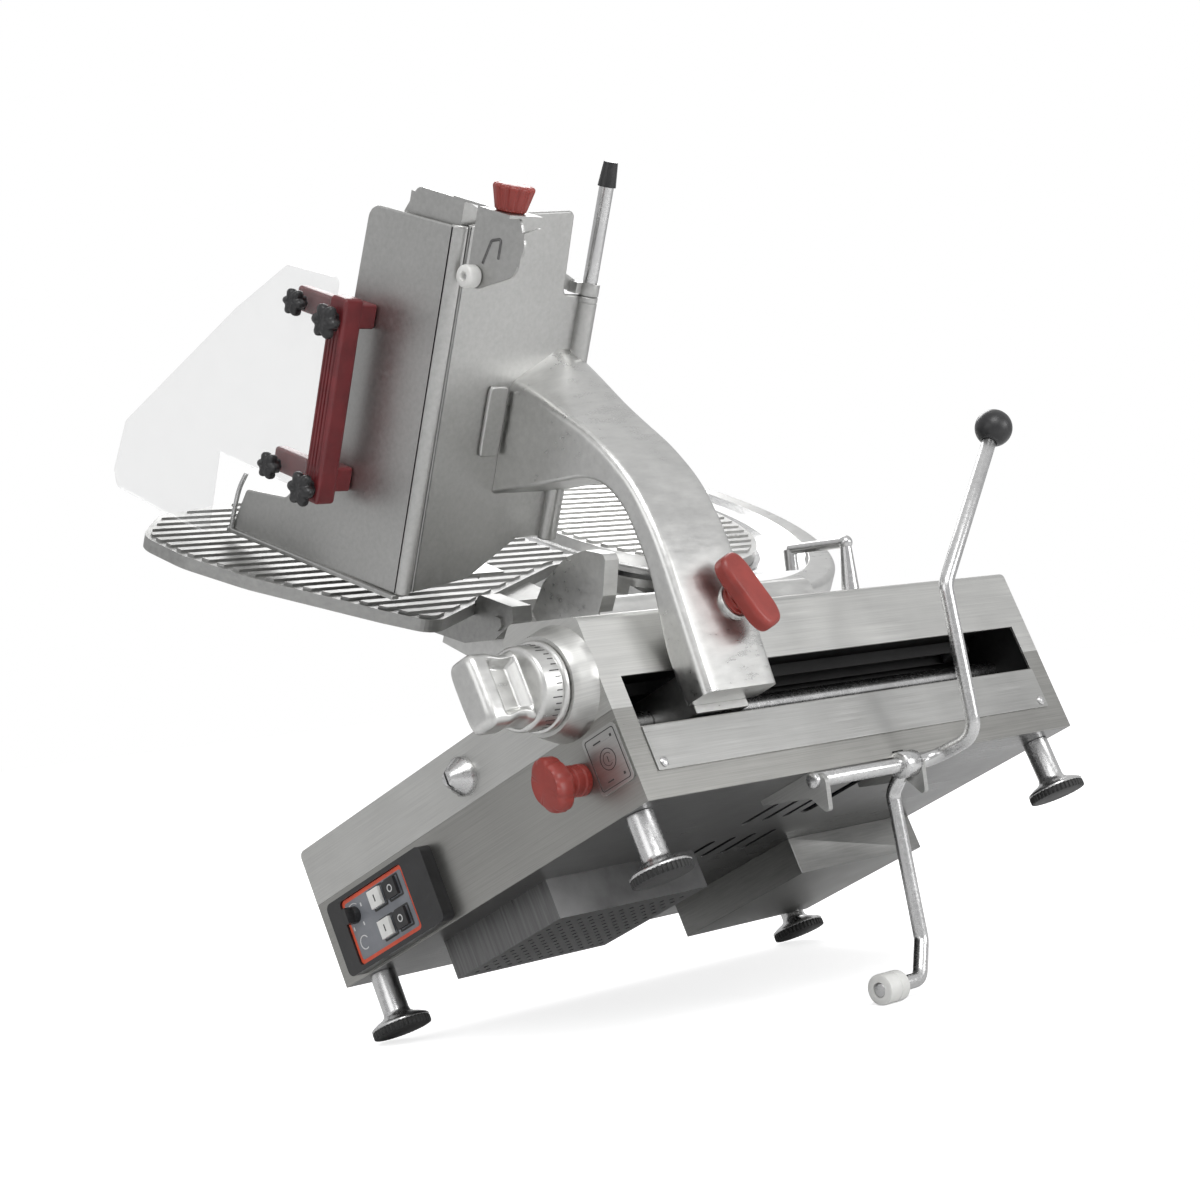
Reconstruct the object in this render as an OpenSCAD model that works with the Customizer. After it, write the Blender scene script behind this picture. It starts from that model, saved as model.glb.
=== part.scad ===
// Electric food slicer with a slanted blade, a sliding product tray and a lift lever.
// The machine's own axes: X from the left side to the slot side, Y from the control
// panel to the back, Z up from the underside of the base. It stands tilted about Y,
// on its two left feet and the roller of its lift lever.

/* [Base] */
// Width of the base, left side to slot side
base_w = 400; // [380:1:420]
// Depth of the base, front to back
base_d = 540; // [530:1:560]
// Height of the seam between tub and top cover
seam_h = 74; // [72:1:80]
// Height of the low deck
deck_h = 122; // [116:1:130]
// Height of the raised block at the slot side
block_h = 150; // [146:1:154]
// Height of the raised block's crown
crown_h = 177; // [174:1:182]
// Thickness of the sheet steel
sheet = 2; // [1.5:0.1:2.5]

/* [Feet] */
// Distance from a side to a foot's axis
foot_inset_x = 30; // [28:1:36]
// Distance from the front or back to a foot's axis
foot_inset_y = 17; // [15:1:24]
// Height of the feet under the base
foot_drop = 52; // [48:1:56]
// Diameter of a foot's tube
leg_dia = 22; // [18:1:24]
// Diameter of a foot's disc
foot_dia = 50; // [44:1:52]

/* [Carriage slot] */
// Lower edge of the slot in the right face
slot_low = 58; // [56:1:60]
// Upper edge of the slot
slot_high = 99; // [97:1:104]
// Front end of the slot
slot_front = 22; // [18:1:24]
// Length of the slot
slot_len = 497; // [485:1:500]
// Diameter of the carriage guide rod
rod_dia = 20; // [16:1:22]

/* [Blade] */
// Diameter of the blade
blade_dia = 350; // [330:1:352]
// Slant of the blade plane from level, in degrees
blade_slant = 46.5; // [46:0.5:47.5]
// Distance of the blade plane from the base's lower front left corner
blade_plane = 316; // [313:1:317]
// Place of the blade's centre down the slanted plane
blade_u = -226; // [-230:1:-222]
// Place of the blade's centre from front to back
blade_v = 474; // [470:1:478]
// Reach of the ring guard beyond the blade's edge
guard_reach = 32; // [29:1:34]

/* [Product tray] */
// Slant of the tray, in degrees
tray_slant = 44; // [43.5:0.5:44.5]
// Length of the tray's front wall along the slope's normal
tray_top = 642; // [630:1:650]
// Thickness of the tray's cast walls
tray_wall = 4; // [3:0.5:5]
// Diameter of the tray's slide rod
tray_rod_dia = 12; // [11:0.5:13]

/* [Index knob] */
// Diameter of the graduated dial
dial_dia = 65; // [60:1:70]

/* [Lift lever] */
// Diameter of the lever's rod
lever_dia = 12; // [11:0.5:13]
// Diameter of the ball
ball_dia = 32; // [28:1:36]
// Diameter of the floor roller
roller_dia = 25; // [22:1:28]

/* [Hidden] */

// Overrun of every cut, running clearance and the gap left between loose neighbours
cut = 1;
fit = 0.05;
gap = 0.3;
// Facets of exact rounds, and points along a rounded corner
round_fn = 64;
rod_fn = 24;
knuckle = 0.4;
corner_steps = 8;

guard_dia = blade_dia + 2 * guard_reach;

// Lever: pivot under the slot side, leg to the floor roller, handle to the ball
pivot_x = base_w + 2;
pivot_z = -8;
roller_reach = 57;
roller_depth = 162;
roller_x = pivot_x - roller_reach;
roller_z = pivot_z - roller_depth;

// The tilt puts the left pads' outer rims and the roller on one level floor
rim_x = foot_inset_x - foot_dia / 2;
tilt_run = roller_x - rim_x;
tilt_drop = -foot_drop - roller_z;
tilt = atan2(tilt_drop, tilt_run) + asin(roller_dia / 2 / norm([tilt_run, tilt_drop]));
floor_lift = foot_drop * cos(tilt) - rim_x * sin(tilt);
// Plan offsets that bring the standing machine's middle over the origin
plan_x = -80.73;
plan_y = -294.85;

module stand()
{
    translate([plan_x, plan_y, floor_lift])
        rotate([0, -tilt, 0])
            children();
}

// Frames along the blade plane and along the tray
module on_blade_plane()
{
    rotate([0, blade_slant, 0])
        translate([0, 0, blade_plane])
            children();
}

module at_blade_centre()
{
    on_blade_plane()
        translate([blade_u, blade_v, 0])
            children();
}

module on_tray()
{
    rotate([0, tray_slant, 0])
        children();
}

// An outline drawn in X and Z, carried along Y from near to far
module along_y(near, far)
{
    translate([0, far, 0])
        rotate([90, 0, 0])
            linear_extrude(far - near)
                children();
}

// An outline drawn in Y and Z, carried along X from near to far
module along_x(near, far)
{
    translate([near, 0, 0])
        rotate([90, 0, 90])
            linear_extrude(far - near)
                children();
}

// A turned piece whose axis points to the front, its base at y = 0
module facing_front()
{
    rotate([90, 0, 0])
        children();
}

function unit(v) = v / norm(v);

// Points of one rounded corner: its own point, its neighbours and its radius
function corner(before, here, after, radius) =
    radius == 0 ? [here] :
    let (a = unit(before - here), b = unit(after - here))
    let (half = acos(a * b) / 2, back = radius / tan(half))
    let (centre = here + unit(a + b) * radius / sin(half))
    let (from = here + a * back - centre, to = here + b * back - centre)
    let (start = atan2(from[1], from[0]), turn = atan2(to[1], to[0]) - start)
    let (sweep = turn > 180 ? turn - 360 : turn < -180 ? turn + 360 : turn)
    [for (i = [0:corner_steps])
        centre + radius * [cos(start + sweep * i / corner_steps), sin(start + sweep * i / corner_steps)]];

// Outline from rows of [x, y, corner radius]
function rounded(rows) =
    let (n = len(rows))
    [for (i = [0:n - 1])
        let (p = rows[(i + n - 1) % n], q = rows[i], r = rows[(i + 1) % n])
        each corner([p[0], p[1]], [q[0], q[1]], [r[0], r[1]], q[2])];

module outline(rows)
{
    polygon(rounded(rows));
}

// A rectangle with round corners, from its low corner to its high corner
module round_rect(low, high, radius)
{
    outline([[low[0], low[1], radius], [high[0], low[1], radius],
        [high[0], high[1], radius], [low[0], high[1], radius]]);
}

// A round rod through points: short chords across each bend, which meet inside small pin-shaped knuckles
module bent_rod(points, dia, bend)
{
    n = len(points);
    starts = [for (i = [0:n - 1])
        i == 0 || i == n - 1 ? 0 :
        let (u = unit(points[i] - points[i - 1]), v = unit(points[i + 1] - points[i]))
        bend * tan(acos(u * v) / 2)];
    path = [points[0],
        each [for (i = [1:n - 2])
            each [points[i] - starts[i] * unit(points[i] - points[i - 1]),
                points[i] + starts[i] * unit(points[i + 1] - points[i])]],
        points[n - 1]];
    last = len(path) - 1;
    ways = [for (i = [0:last - 1]) unit(path[i + 1] - path[i])];
    backs = [0, each [for (i = [1:last - 1])
        dia / 2 * tan(acos(ways[i - 1] * ways[i]) / 2) + knuckle / 4], 0];
    for (i = [0:last - 1])
        rod_between(path[i] + backs[i] * ways[i], path[i + 1] - backs[i + 1] * ways[i], dia);
    for (i = [1:last - 1]) {
        across = unit(cross(ways[i - 1], ways[i])) * (dia + knuckle) / 2;
        rod_between(path[i] - across, path[i] + across, 2 * norm([dia / 2, backs[i]]) + knuckle);
    }
}

module rod_between(from, to, dia)
{
    v = to - from;
    translate(from)
        rotate([0, acos(v[2] / norm(v)), atan2(v[1], v[0])])
            cylinder(h = norm(v), d = dia, $fn = rod_fn);
}

// Top cover's cross-section: low deck, raised block and its rounded crown
block_w = 84;
crown_run = 69;
shoulder_h = 166;
cover_gap = 3;
deck_round = 6;
crown_round = 8;
back_lean = 7;

module cover_section(inset)
{
    block_x = base_w - block_w;
    outline([[inset, seam_h - (inset > 0 ? cut : 0), 0], [inset, deck_h - inset, deck_round],
        [block_x + inset, deck_h - inset, 0], [block_x + inset, shoulder_h, 0],
        [base_w - crown_run, crown_h - inset, crown_round - inset],
        [base_w - inset, block_h - inset, deck_round - inset],
        [base_w - inset, seam_h - (inset > 0 ? cut : 0), 0]]);
}

slot_end = slot_front + slot_len;

module slot_cut()
{
    translate([base_w - sheet - cut, slot_front, slot_low])
        cube([sheet + 2 * cut, slot_len, slot_high - slot_low]);
}

// Places of the front controls
dial_x = 357;
dial_z = 114;
shaft_dia = 12;
cone_x = 224;
cone_z = 96;
cone_dia = 32;
cone_h = 18;
cone_shank = 14;
select_x = 344;
select_z = 41;

// Well under the base that the lever's leg folds into
well_x = 284;
well_room = 1.2;
well_end = 322;
well_step = 1.6;

module lever_well()
{
    side = lever_dia / 2 + well_room;
    translate([well_x, leg_y - side, -cut])
        cube([base_w - well_x + cut, 2 * side, 2 * sheet + 2 * cut]);
    translate([base_w - 2 * sheet, leg_y - side, -cut])
        cube([2 * sheet + cut, well_end - leg_y + side, well_step + cut]);
}

module base_tub()
{
    flange = 12;
    stand() color("gainsboro")
        difference() {
            union() {
                difference() {
                    cube([base_w, base_d, seam_h]);
                    translate([sheet, sheet, -cut])
                        cube([base_w - 2 * sheet, base_d - 2 * sheet, seam_h + 2 * cut]);
                }
                difference() {
                    translate([sheet, sheet, sheet])
                        cube([base_w - 2 * sheet, base_d - 2 * sheet, sheet]);
                    translate([sheet + flange, sheet + flange, 0])
                        cube([base_w - 2 * (sheet + flange), base_d - 2 * (sheet + flange), 2 * sheet + cut]);
                }
            }
            slot_cut();
            translate([select_x, -cut, select_z])
                rotate([-90, 0, 0])
                    cylinder(h = sheet + 2 * cut, d = select_shaft + 2 * fit, $fn = round_fn);
            panel_window();
            lever_well();
        }
}

module top_cover()
{
    stand() color("gainsboro")
        difference() {
            union() {
                difference() {
                    along_y(0, base_d)
                        cover_section(0);
                    along_y(sheet, base_d - sheet)
                        cover_section(sheet);
                }
                translate([dial_x, 0, dial_z])
                    facing_front()
                        cylinder(h = collar_h, d1 = collar_dia, d2 = collar_top, $fn = round_fn);
            }
            slot_cut();
            translate([dial_x, sheet + cut, dial_z])
                facing_front()
                    cylinder(h = sheet + collar_h + 2 * cut, d = shaft_dia + 2 * fit, $fn = round_fn);
            translate([cone_x, sheet + cut, cone_z])
                facing_front()
                    cylinder(h = sheet + 2 * cut, d = cone_shank + 2 * fit, $fn = round_fn);
            translate([housing_in[1][0], housing_y + housing_t, deck_h - sheet - cut])
                cube([housing_in[0][0] - housing_in[1][0], housing_d - 2 * housing_t, sheet + 2 * cut]);
        }
}

// Bottom plate with louvre slots
louvre_w = 22;
louvre_d = 7;
louvre_pitch = 26;
plate_gap = 0.2;

module bottom_plate()
{
    stand() color("silver")
        difference() {
            translate([sheet + plate_gap, sheet + plate_gap, 0])
                cube([base_w - 2 * (sheet + plate_gap), base_d - 2 * (sheet + plate_gap), sheet]);
            for (row = [0, 1], i = [0:3])
                translate([base_w / 2 + row * base_w / 5, base_d / 2 + louvre_pitch * (i - 2), -cut])
                    linear_extrude(sheet + 2 * cut)
                        round_rect([0, 0], [louvre_w * 2, louvre_d], louvre_d / 2 - fit);
            lever_well();
        }
}

// Black channel behind the slot, which carries the guide rod
liner_x = 318;
liner_low = 50;
liner_high = 112;
liner_end = 10;

module slot_liner()
{
    far = base_w - sheet;
    stand() color("#202020")
        difference() {
            translate([liner_x, liner_end, liner_low])
                cube([far - liner_x, base_d - 2 * liner_end, liner_high - liner_low]);
            translate([liner_x + sheet, liner_end + sheet, liner_low + sheet])
                cube([far - liner_x, base_d - 2 * (liner_end + sheet), liner_high - liner_low - 2 * sheet]);
            translate([rod_x, base_d / 2, rod_z])
                rotate([-90, 0, 0])
                    cylinder(h = base_d, d = rod_dia + 2 * fit, center = true, $fn = round_fn);
            for (y = [belt_front, belt_back])
                translate([belt_x, y, liner_high])
                    cylinder(h = 4 * sheet, d = pulley_shaft + 2 * fit, center = true, $fn = round_fn);
        }
}

// Removable strip under the slot
strip_low = 21;
strip_h = 36;
strip_screw_z = 27;
strip_t = 1.5;

module slot_strip()
{
    stand() color("silver")
        translate([base_w, slot_front, strip_low])
            cube([strip_t, slot_len, strip_h]);
}

// Domed cap screws on the slot side
screw_dia = 8;
screw_h = 2.5;

module cover_screws()
{
    stand() color("silver")
        for (y = [slot_front + screw_dia, slot_end - screw_dia])
            translate([base_w + strip_t, y, strip_screw_z])
                rotate([0, 90, 0])
                    cap_screw();
}

module cap_screw()
{
    rotate_extrude($fn = round_fn)
        polygon([[0, 0], [screw_dia / 2, 0], [screw_dia / 2, screw_h / 3],
            [screw_dia / 3, screw_h * 0.8], [0, screw_h]]);
}

function foot_places() =
    [for (x = [foot_inset_x, base_w - foot_inset_x], y = [foot_inset_y, base_d - foot_inset_y]) [x, y]];

pad_h = 6;
disc_h = 8;
disc_neck = 16;

module legs()
{
    stand() color("gainsboro")
        for (p = foot_places())
            translate([p[0], p[1], -foot_drop + pad_h])
                rotate_extrude($fn = round_fn)
                    polygon([[0, 0], [foot_dia / 2, 0], [foot_dia / 2, disc_h / 4],
                        [foot_dia / 2 - disc_h / 2, disc_h / 2], [leg_dia / 2, disc_h],
                        [leg_dia / 2, foot_drop - pad_h], [0, foot_drop - pad_h]]);
}

module foot_pads()
{
    stand() color("#252525")
        for (p = foot_places())
            translate([p[0], p[1], -foot_drop])
                cylinder(h = pad_h, d = foot_dia, $fn = round_fn);
}

// Perforated vent box and plain drive box under the base
vent_x = 92;
vent_y = 38;
vent_w = 138;
vent_d = 171;
box_drop = 33;
drive_x = 43;
drive_y = 360;
drive_w = 158;
drive_d = 171;
perf_pitch = 12;
perf_dia = 5;

module vent_box()
{
    cols = floor((vent_w - 2 * perf_pitch) / perf_pitch);
    rows = floor((vent_d - 2 * perf_pitch) / perf_pitch);
    stand() color("silver")
        difference() {
            translate([vent_x, vent_y, -box_drop])
                cube([vent_w, vent_d, box_drop]);
            translate([vent_x + sheet, vent_y + sheet, -box_drop + sheet])
                cube([vent_w - 2 * sheet, vent_d - 2 * sheet, box_drop]);
            for (i = [0:cols], j = [0:rows])
                translate([vent_x + perf_pitch * (1 + i), vent_y + perf_pitch * (1 + j), -box_drop - cut])
                    cylinder(h = sheet + 2 * cut, d = perf_dia, $fn = 6);
        }
}

module drive_box()
{
    stand() color("silver")
        difference() {
            translate([drive_x, drive_y, -box_drop])
                cube([drive_w, drive_d, box_drop]);
            translate([drive_x + sheet, drive_y + sheet, -box_drop + sheet])
                cube([drive_w - 2 * sheet, drive_d - 2 * sheet, box_drop]);
            translate([gland_x, drive_y + drive_d, gland_z])
                rotate([90, 0, 0])
                    cylinder(h = 3 * sheet, d = gland_dia * gland_thread_share, center = true, $fn = round_fn);
        }
}

// Cable gland on the back of the drive box
gland_x = 128;
gland_z = -20;
gland_dia = 18;
gland_len = 16;
gland_thread_share = 0.75;
gland_bore_share = 0.4;

module cable_gland()
{
    far = drive_y + drive_d;
    stand() color("#252525")
        translate([gland_x, far, gland_z])
            rotate([-90, 0, 0])
                difference() {
                    union() {
                        cylinder(h = gland_len / 2, d = gland_dia, $fn = 6);
                        translate([0, 0, gland_len / 2])
                            cylinder(h = gland_len / 2, d = gland_dia * gland_thread_share, $fn = round_fn);
                        translate([0, 0, -2 * sheet])
                            cylinder(h = 2 * sheet, d = gland_dia * gland_thread_share - 2 * fit, $fn = round_fn);
                    }
                    translate([0, 0, -3 * sheet])
                        cylinder(h = gland_len + 4 * sheet, d = gland_dia * gland_bore_share, $fn = round_fn);
                }
}

// Control panel: a thick rounded bezel with a recessed face
panel_left = 24;
panel_right = 159;
panel_low = 2;
panel_high = 66;
panel_proud = 12;
face_left = 42;
face_right = 130;
face_recess = 2;
face_rim = 4;
window_rim = 6;

module panel_window()
{
    translate([face_left + window_rim, -cut, panel_low + face_rim + window_rim])
        cube([face_right - face_left - 2 * window_rim, sheet + 2 * cut,
            panel_high - panel_low - 2 * (face_rim + window_rim)]);
}

module panel_bezel()
{
    stand() color("#1c1c1c")
        difference() {
            along_y(-panel_proud, 0)
                round_rect([panel_left, panel_low], [panel_right, panel_high], panel_proud / 2);
            along_y(-panel_proud - cut, -panel_proud + face_recess + sheet)
                round_rect([face_left, panel_low + face_rim], [face_right, panel_high - face_rim], face_rim);
            along_y(-panel_proud, cut)
                round_rect([face_left + window_rim, panel_low + face_rim + window_rim],
                    [face_right - window_rim, panel_high - face_rim - window_rim], face_rim);
        }
}

// Square push buttons: places of their centres on the panel face
button_w = 15;
button_stem = 8;
button_proud = 3;
button_travel = 2;
left_button_x = 90;
right_button_x = 112;
upper_button_z = 48;
lower_button_z = 22;
switch_x = 55;
switch_z = 46;
switch_dia = 14;
switch_h = 12;
switch_stem = 6;
face_front = -panel_proud + face_recess;

module panel_face()
{
    stand() color("#c8402e")
        difference() {
            along_y(face_front, face_front + sheet)
                round_rect([face_left + gap, panel_low + face_rim + gap],
                    [face_right - gap, panel_high - face_rim - gap], face_rim - gap);
            for (x = [left_button_x, right_button_x], z = [upper_button_z, lower_button_z])
                translate([x, face_front + sheet / 2, z])
                    facing_front()
                        cylinder(h = sheet + 2 * cut, d = button_stem + 2 * fit, center = true, $fn = round_fn);
            translate([switch_x, face_front + sheet / 2, switch_z])
                facing_front()
                    cylinder(h = sheet + 2 * cut, d = switch_stem + 2 * fit, center = true, $fn = round_fn);
        }
}

module push_button(x, z)
{
    stand()
        translate([x, face_front, z]) {
            translate([-button_w / 2, -button_travel - button_proud, -button_w / 2])
                cube([button_w, button_proud, button_w]);
            translate([0, -button_travel - cut, 0])
                rotate([-90, 0, 0])
                    cylinder(h = button_travel + cut + 2 * sheet, d = button_stem, $fn = round_fn);
        }
}

module blade_start_button()
{
    color("white")
        push_button(left_button_x, upper_button_z);
}

module blade_stop_button()
{
    color("#202020")
        push_button(right_button_x, upper_button_z);
}

module carriage_start_button()
{
    color("white")
        push_button(left_button_x, lower_button_z);
}

module carriage_stop_button()
{
    color("#202020")
        push_button(right_button_x, lower_button_z);
}

// Small turn switch with a grip bar across its face
module panel_switch()
{
    stand() color("#202020")
        translate([switch_x, face_front, switch_z]) {
            facing_front() {
                cylinder(h = switch_h / 2, d = switch_dia, $fn = round_fn);
                translate([-switch_stem / 2, -switch_dia / 2 + gap, 0])
                    cube([switch_stem, switch_dia - 2 * gap, switch_h]);
            }
            rotate([-90, 0, 0])
                cylinder(h = 2 * sheet, d = switch_stem, $fn = round_fn);
        }
}

// Plate and knob that choose hand or automatic drive
select_plate_left = 359;
select_plate_right = 398;
select_plate_low = 20;
select_plate_high = 66;
select_shaft = 12;
select_neck_dia = 25;
select_neck = 21;
select_dia = 44;
select_thick = 18;

module selector_plate()
{
    stand() color("silver")
        along_y(-strip_t, 0)
            round_rect([select_plate_left, select_plate_low], [select_plate_right, select_plate_high], face_rim);
}

module selector_knob()
{
    stand() color("#b23a34")
        translate([select_x, -gap, select_z]) {
            facing_front() {
                cylinder(h = select_neck + cut, d = select_neck_dia, $fn = round_fn);
                translate([0, 0, select_neck])
                    rotate_extrude($fn = round_fn)
                        outline([[0, 0, 0], [select_dia / 2, 0, select_thick / 3],
                            [select_dia / 2, select_thick, select_thick / 3], [0, select_thick, 0]]);
            }
            rotate([-90, 0, 0])
                cylinder(h = 5 * sheet, d = select_shaft, $fn = round_fn);
        }
}

// Slotted cone that locks the tray's tilt
module lock_cone()
{
    stand() color("silver")
        translate([cone_x, 0, cone_z]) {
            facing_front()
                difference() {
                    rotate_extrude($fn = round_fn)
                        outline([[0, 0, 0], [cone_dia / 2, 0, 0], [cone_dia / 2, cone_h / 5, 0],
                            [cone_dia / 6, cone_h, cone_h / 8], [0, cone_h, 0]]);
                    translate([-sheet / 2, -cone_dia, cone_h * 0.7])
                        cube([sheet, 2 * cone_dia, cone_h]);
                }
            rotate([-90, 0, 0])
                cylinder(h = 4 * sheet, d = cone_shank, $fn = round_fn);
        }
}

// Index knob: graduated dial, scooped grip, shaft and the cam that moves the gauge plate
collar_dia = 90;
collar_h = 20;
collar_top = 76;
dial_h = 25;
dial_step = 5;
mark_count = 30;
mark_w = 1;
mark_len = 9;
grip_w = 30;
grip_h = 58;
grip_len = 46;
grip_scoop = 120;
shaft_back = 28;
cam_dia = 44;
cam_throw = 5;
cam_t = 5;

module index_knob()
{
    dial_r = dial_dia / 2;
    stand() color("silver")
        translate([dial_x, -collar_h - gap, dial_z]) {
            facing_front() {
                difference() {
                    rotate_extrude($fn = round_fn)
                        outline([[0, 0, 0], [dial_r + dial_step / 2, 0, 0], [dial_r + dial_step / 2, dial_step, 0],
                            [dial_r, dial_step, 0], [dial_r, dial_h, dial_step / 2], [0, dial_h, 0]]);
                    for (i = [0:mark_count - 1])
                        rotate([0, 0, 360 * i / mark_count])
                            translate([dial_r, 0, dial_step + mark_len / 2 + (i % 5 == 0 ? 0 : -mark_len / 5)])
                                cube([mark_w, mark_w, mark_len * (i % 5 == 0 ? 1 : 0.6)], center = true);
                }
                translate([0, 0, dial_h - cut])
                    intersection() {
                        difference() {
                            linear_extrude(grip_len + cut)
                                round_rect([-grip_w / 2, -grip_h / 2], [grip_w / 2, grip_h / 2], grip_w / 3);
                            for (side = [-1, 1])
                                translate([side * (grip_scoop / 2 + grip_w / 4), 0, grip_len * 0.55])
                                    rotate([90, 0, 0])
                                        cylinder(h = grip_h * 0.62, d = grip_scoop, center = true, $fn = round_fn * 2);
                        }
                        rotate([90, 0, 90])
                            translate([0, 0, -grip_w])
                                linear_extrude(2 * grip_w)
                                    round_rect([-grip_h / 2, -grip_w], [grip_h / 2, grip_len + cut], grip_w / 3);
                    }
            }
            rotate([-90, 0, 0])
                cylinder(h = shaft_back, d = shaft_dia, $fn = round_fn);
            translate([cam_throw, shaft_back - cam_t, 0])
                rotate([-90, 0, 0])
                    cylinder(h = cam_t, d = cam_dia, $fn = round_fn);
        }
}

// Gauge plate: outline in the blade plane, from its far left corner round its front lip
rib_pitch = 13;
rib_w = 6;
rib_h = 2;
plate_t = 6;
lip_h = 13;
lip_t = 5;
gauge_bite = 4;
gauge_rows = [[-326, 60, 0], [-304, -38, 40], [-258, -86, 30], [-206, -80, 60], [-150, -54, 90],
    [-58, 14, 100], [-24, 44, 22], [-124, 268, 60], [-132, 330, 0], [-330, 330, 0]];

// The outline drawn in by a distance, corner by corner
function drawn_in(rows, by) =
    let (n = len(rows))
    [for (i = [0:n - 1])
        let (p = rows[(i + n - 1) % n], q = rows[i], r = rows[(i + 1) % n])
        let (a = unit([q[0] - p[0], q[1] - p[1]]), b = unit([r[0] - q[0], r[1] - q[1]]))
        let (na = [-a[1], a[0]], nb = [-b[1], b[0]])
        let (m = unit(na + nb) * by / sqrt((1 + na * nb) / 2))
        [q[0] + m[0], q[1] + m[1], max(q[2] - by, 0)]];

slide_w = 40;
slide_d = 70;
slide_h = 47;
slide_u = -84;
slide_v = 187;
// Curved web under the plate's right edge, with its clamp bolt
web_rows = [[-120, -6, 0], [-122, -42, 8], [-106, -46, 8], [-60, -40, 6], [-26, -24, 6], [-9, -2, 0],
    [-14, 10, 0], [-54, 6, 4], [-60, -6, 0]];
web_near = 116;
web_t = 22;
web_bolt = [-25, -9];
web_bolt_dia = 13;

module gauge_plate()
{
    count = 24;
    stand() color("gainsboro")
        on_blade_plane()
            difference() {
                union() {
                    translate([0, 0, -rib_h - plate_t])
                        linear_extrude(plate_t)
                            outline(gauge_rows);
                    intersection() {
                        translate([0, 0, -rib_h - plate_t])
                            linear_extrude(plate_t + rib_h)
                                outline(drawn_in(gauge_rows, lip_t));
                        for (i = [0:count])
                            translate([-rib_pitch * (i + 1), 0, -rib_h - cut])
                                translate([0, -base_d / 2, 0])
                                    cube([rib_w, 2 * base_d, rib_h + cut]);
                    }
                    difference() {
                        translate([0, 0, -lip_h])
                            linear_extrude(lip_h - rib_h)
                                outline(gauge_rows);
                        translate([0, 0, -lip_h - cut])
                            linear_extrude(lip_h + cut)
                                outline(drawn_in(gauge_rows, lip_t));
                    }
                    translate([slide_u - slide_w / 2, slide_v - slide_d / 2, -rib_h - plate_t - slide_h])
                        cube([slide_w, slide_d, slide_h + cut]);
                    along_y(web_near, web_near + web_t)
                        outline(web_rows);
                    translate([web_bolt[0], web_near, web_bolt[1]])
                        facing_front()
                            cylinder(h = strip_t * 2, d = web_bolt_dia, $fn = 6);
                }
                translate([blade_u, blade_v, -base_d / 2])
                    cylinder(h = base_d, d = blade_dia + 4 * gauge_bite, $fn = round_fn * 2);
            }
}

// Frame casting: housing on the deck, hub that carries the blade, beam with the gauge's slideway
hub_dia = 190;
hub_near = 34;
hub_far = 52;
bearing_dia = 47;
spindle_dia = 20;
bore_len = 60;
housing_y = 412;
housing_d = 122;
housing_t = 8;
housing_top = -42;
housing_low = -150;
housing_end = -282;
rail_t = 10;
rail_near = 25;
rail_far = 62;
rail_reach = 40;
beam_left = 205;
beam_right = 292;
beam_low = 150;
beam_top = 212;
lug_near = 142;
lug_t = 16;
lug_rows = [[222, 231, 0], [246, 246, 8], [280, 252, 12], [303, 247, 8], [320, 235, 4], [320, 229, 0],
    [303, 205, 0], [286, 190, 0], [222, 190, 0]];

// Place in the front view of a point on the slanted plane, given along it and above it
function plane_point(u, w) =
    [u * cos(blade_slant) + (blade_plane + w) * sin(blade_slant),
        -u * sin(blade_slant) + (blade_plane + w) * cos(blade_slant)];

// Where a line parallel to the plane, at height w above it, comes down to height z
function line_foot(w, z) =
    plane_point(((blade_plane + w) * cos(blade_slant) - z) / sin(blade_slant), w);

housing_in = [line_foot(housing_top - housing_t, deck_h), line_foot(housing_low + housing_t, deck_h)];

module frame_casting()
{
    low = -hub_far - bore_len;
    stand() color("silver")
        difference() {
            union() {
                difference() {
                    along_y(housing_y, housing_y + housing_d)
                        polygon([line_foot(housing_top, deck_h), line_foot(housing_low, deck_h),
                            plane_point(housing_end, housing_low), plane_point(housing_end, housing_top)]);
                    along_y(housing_y + housing_t, housing_y + housing_d - housing_t)
                        polygon([line_foot(housing_top - housing_t, deck_h - cut),
                            line_foot(housing_low + housing_t, deck_h - cut),
                            plane_point(housing_end + housing_t, housing_low + housing_t),
                            plane_point(housing_end + housing_t, housing_top - housing_t)]);
                }
                at_blade_centre()
                    translate([0, 0, -hub_far])
                        cylinder(h = hub_far - hub_near, d = hub_dia, $fn = round_fn);
                at_blade_centre()
                    translate([0, 0, low])
                        cylinder(h = bore_len + cut, d = bearing_dia + 2 * rail_t, $fn = round_fn);
                along_y(lug_near + cut, housing_y + housing_t / 2)
                    round_rect([beam_left, beam_low], [beam_right, beam_top], rail_t);
                on_blade_plane()
                    translate([slide_u - slide_w / 2 - rail_t, lug_near + cut / 2, -rail_far])
                        cube([slide_w + rail_t + rail_reach - slide_u, slide_d + 2 * rail_t, rail_far - rail_near]);
                along_y(lug_near, lug_near + lug_t)
                    outline(lug_rows);
            }
            on_blade_plane()
                translate([slide_u - slide_w / 2 - fit, slide_v - slide_d / 2 - fit, -rail_far - cut])
                    cube([slide_w + 2 * fit, slide_d + 2 * fit, rail_far]);
            at_blade_centre()
                translate([0, 0, low - cut])
                    cylinder(h = bore_len + hub_far, d = bearing_dia, $fn = round_fn);
        }
}

// Blade: dished disc with a ground bevel, on a hub seat
blade_t = 4;
dish = 14;
seat_dia = 110;
bevel = 14;

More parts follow.
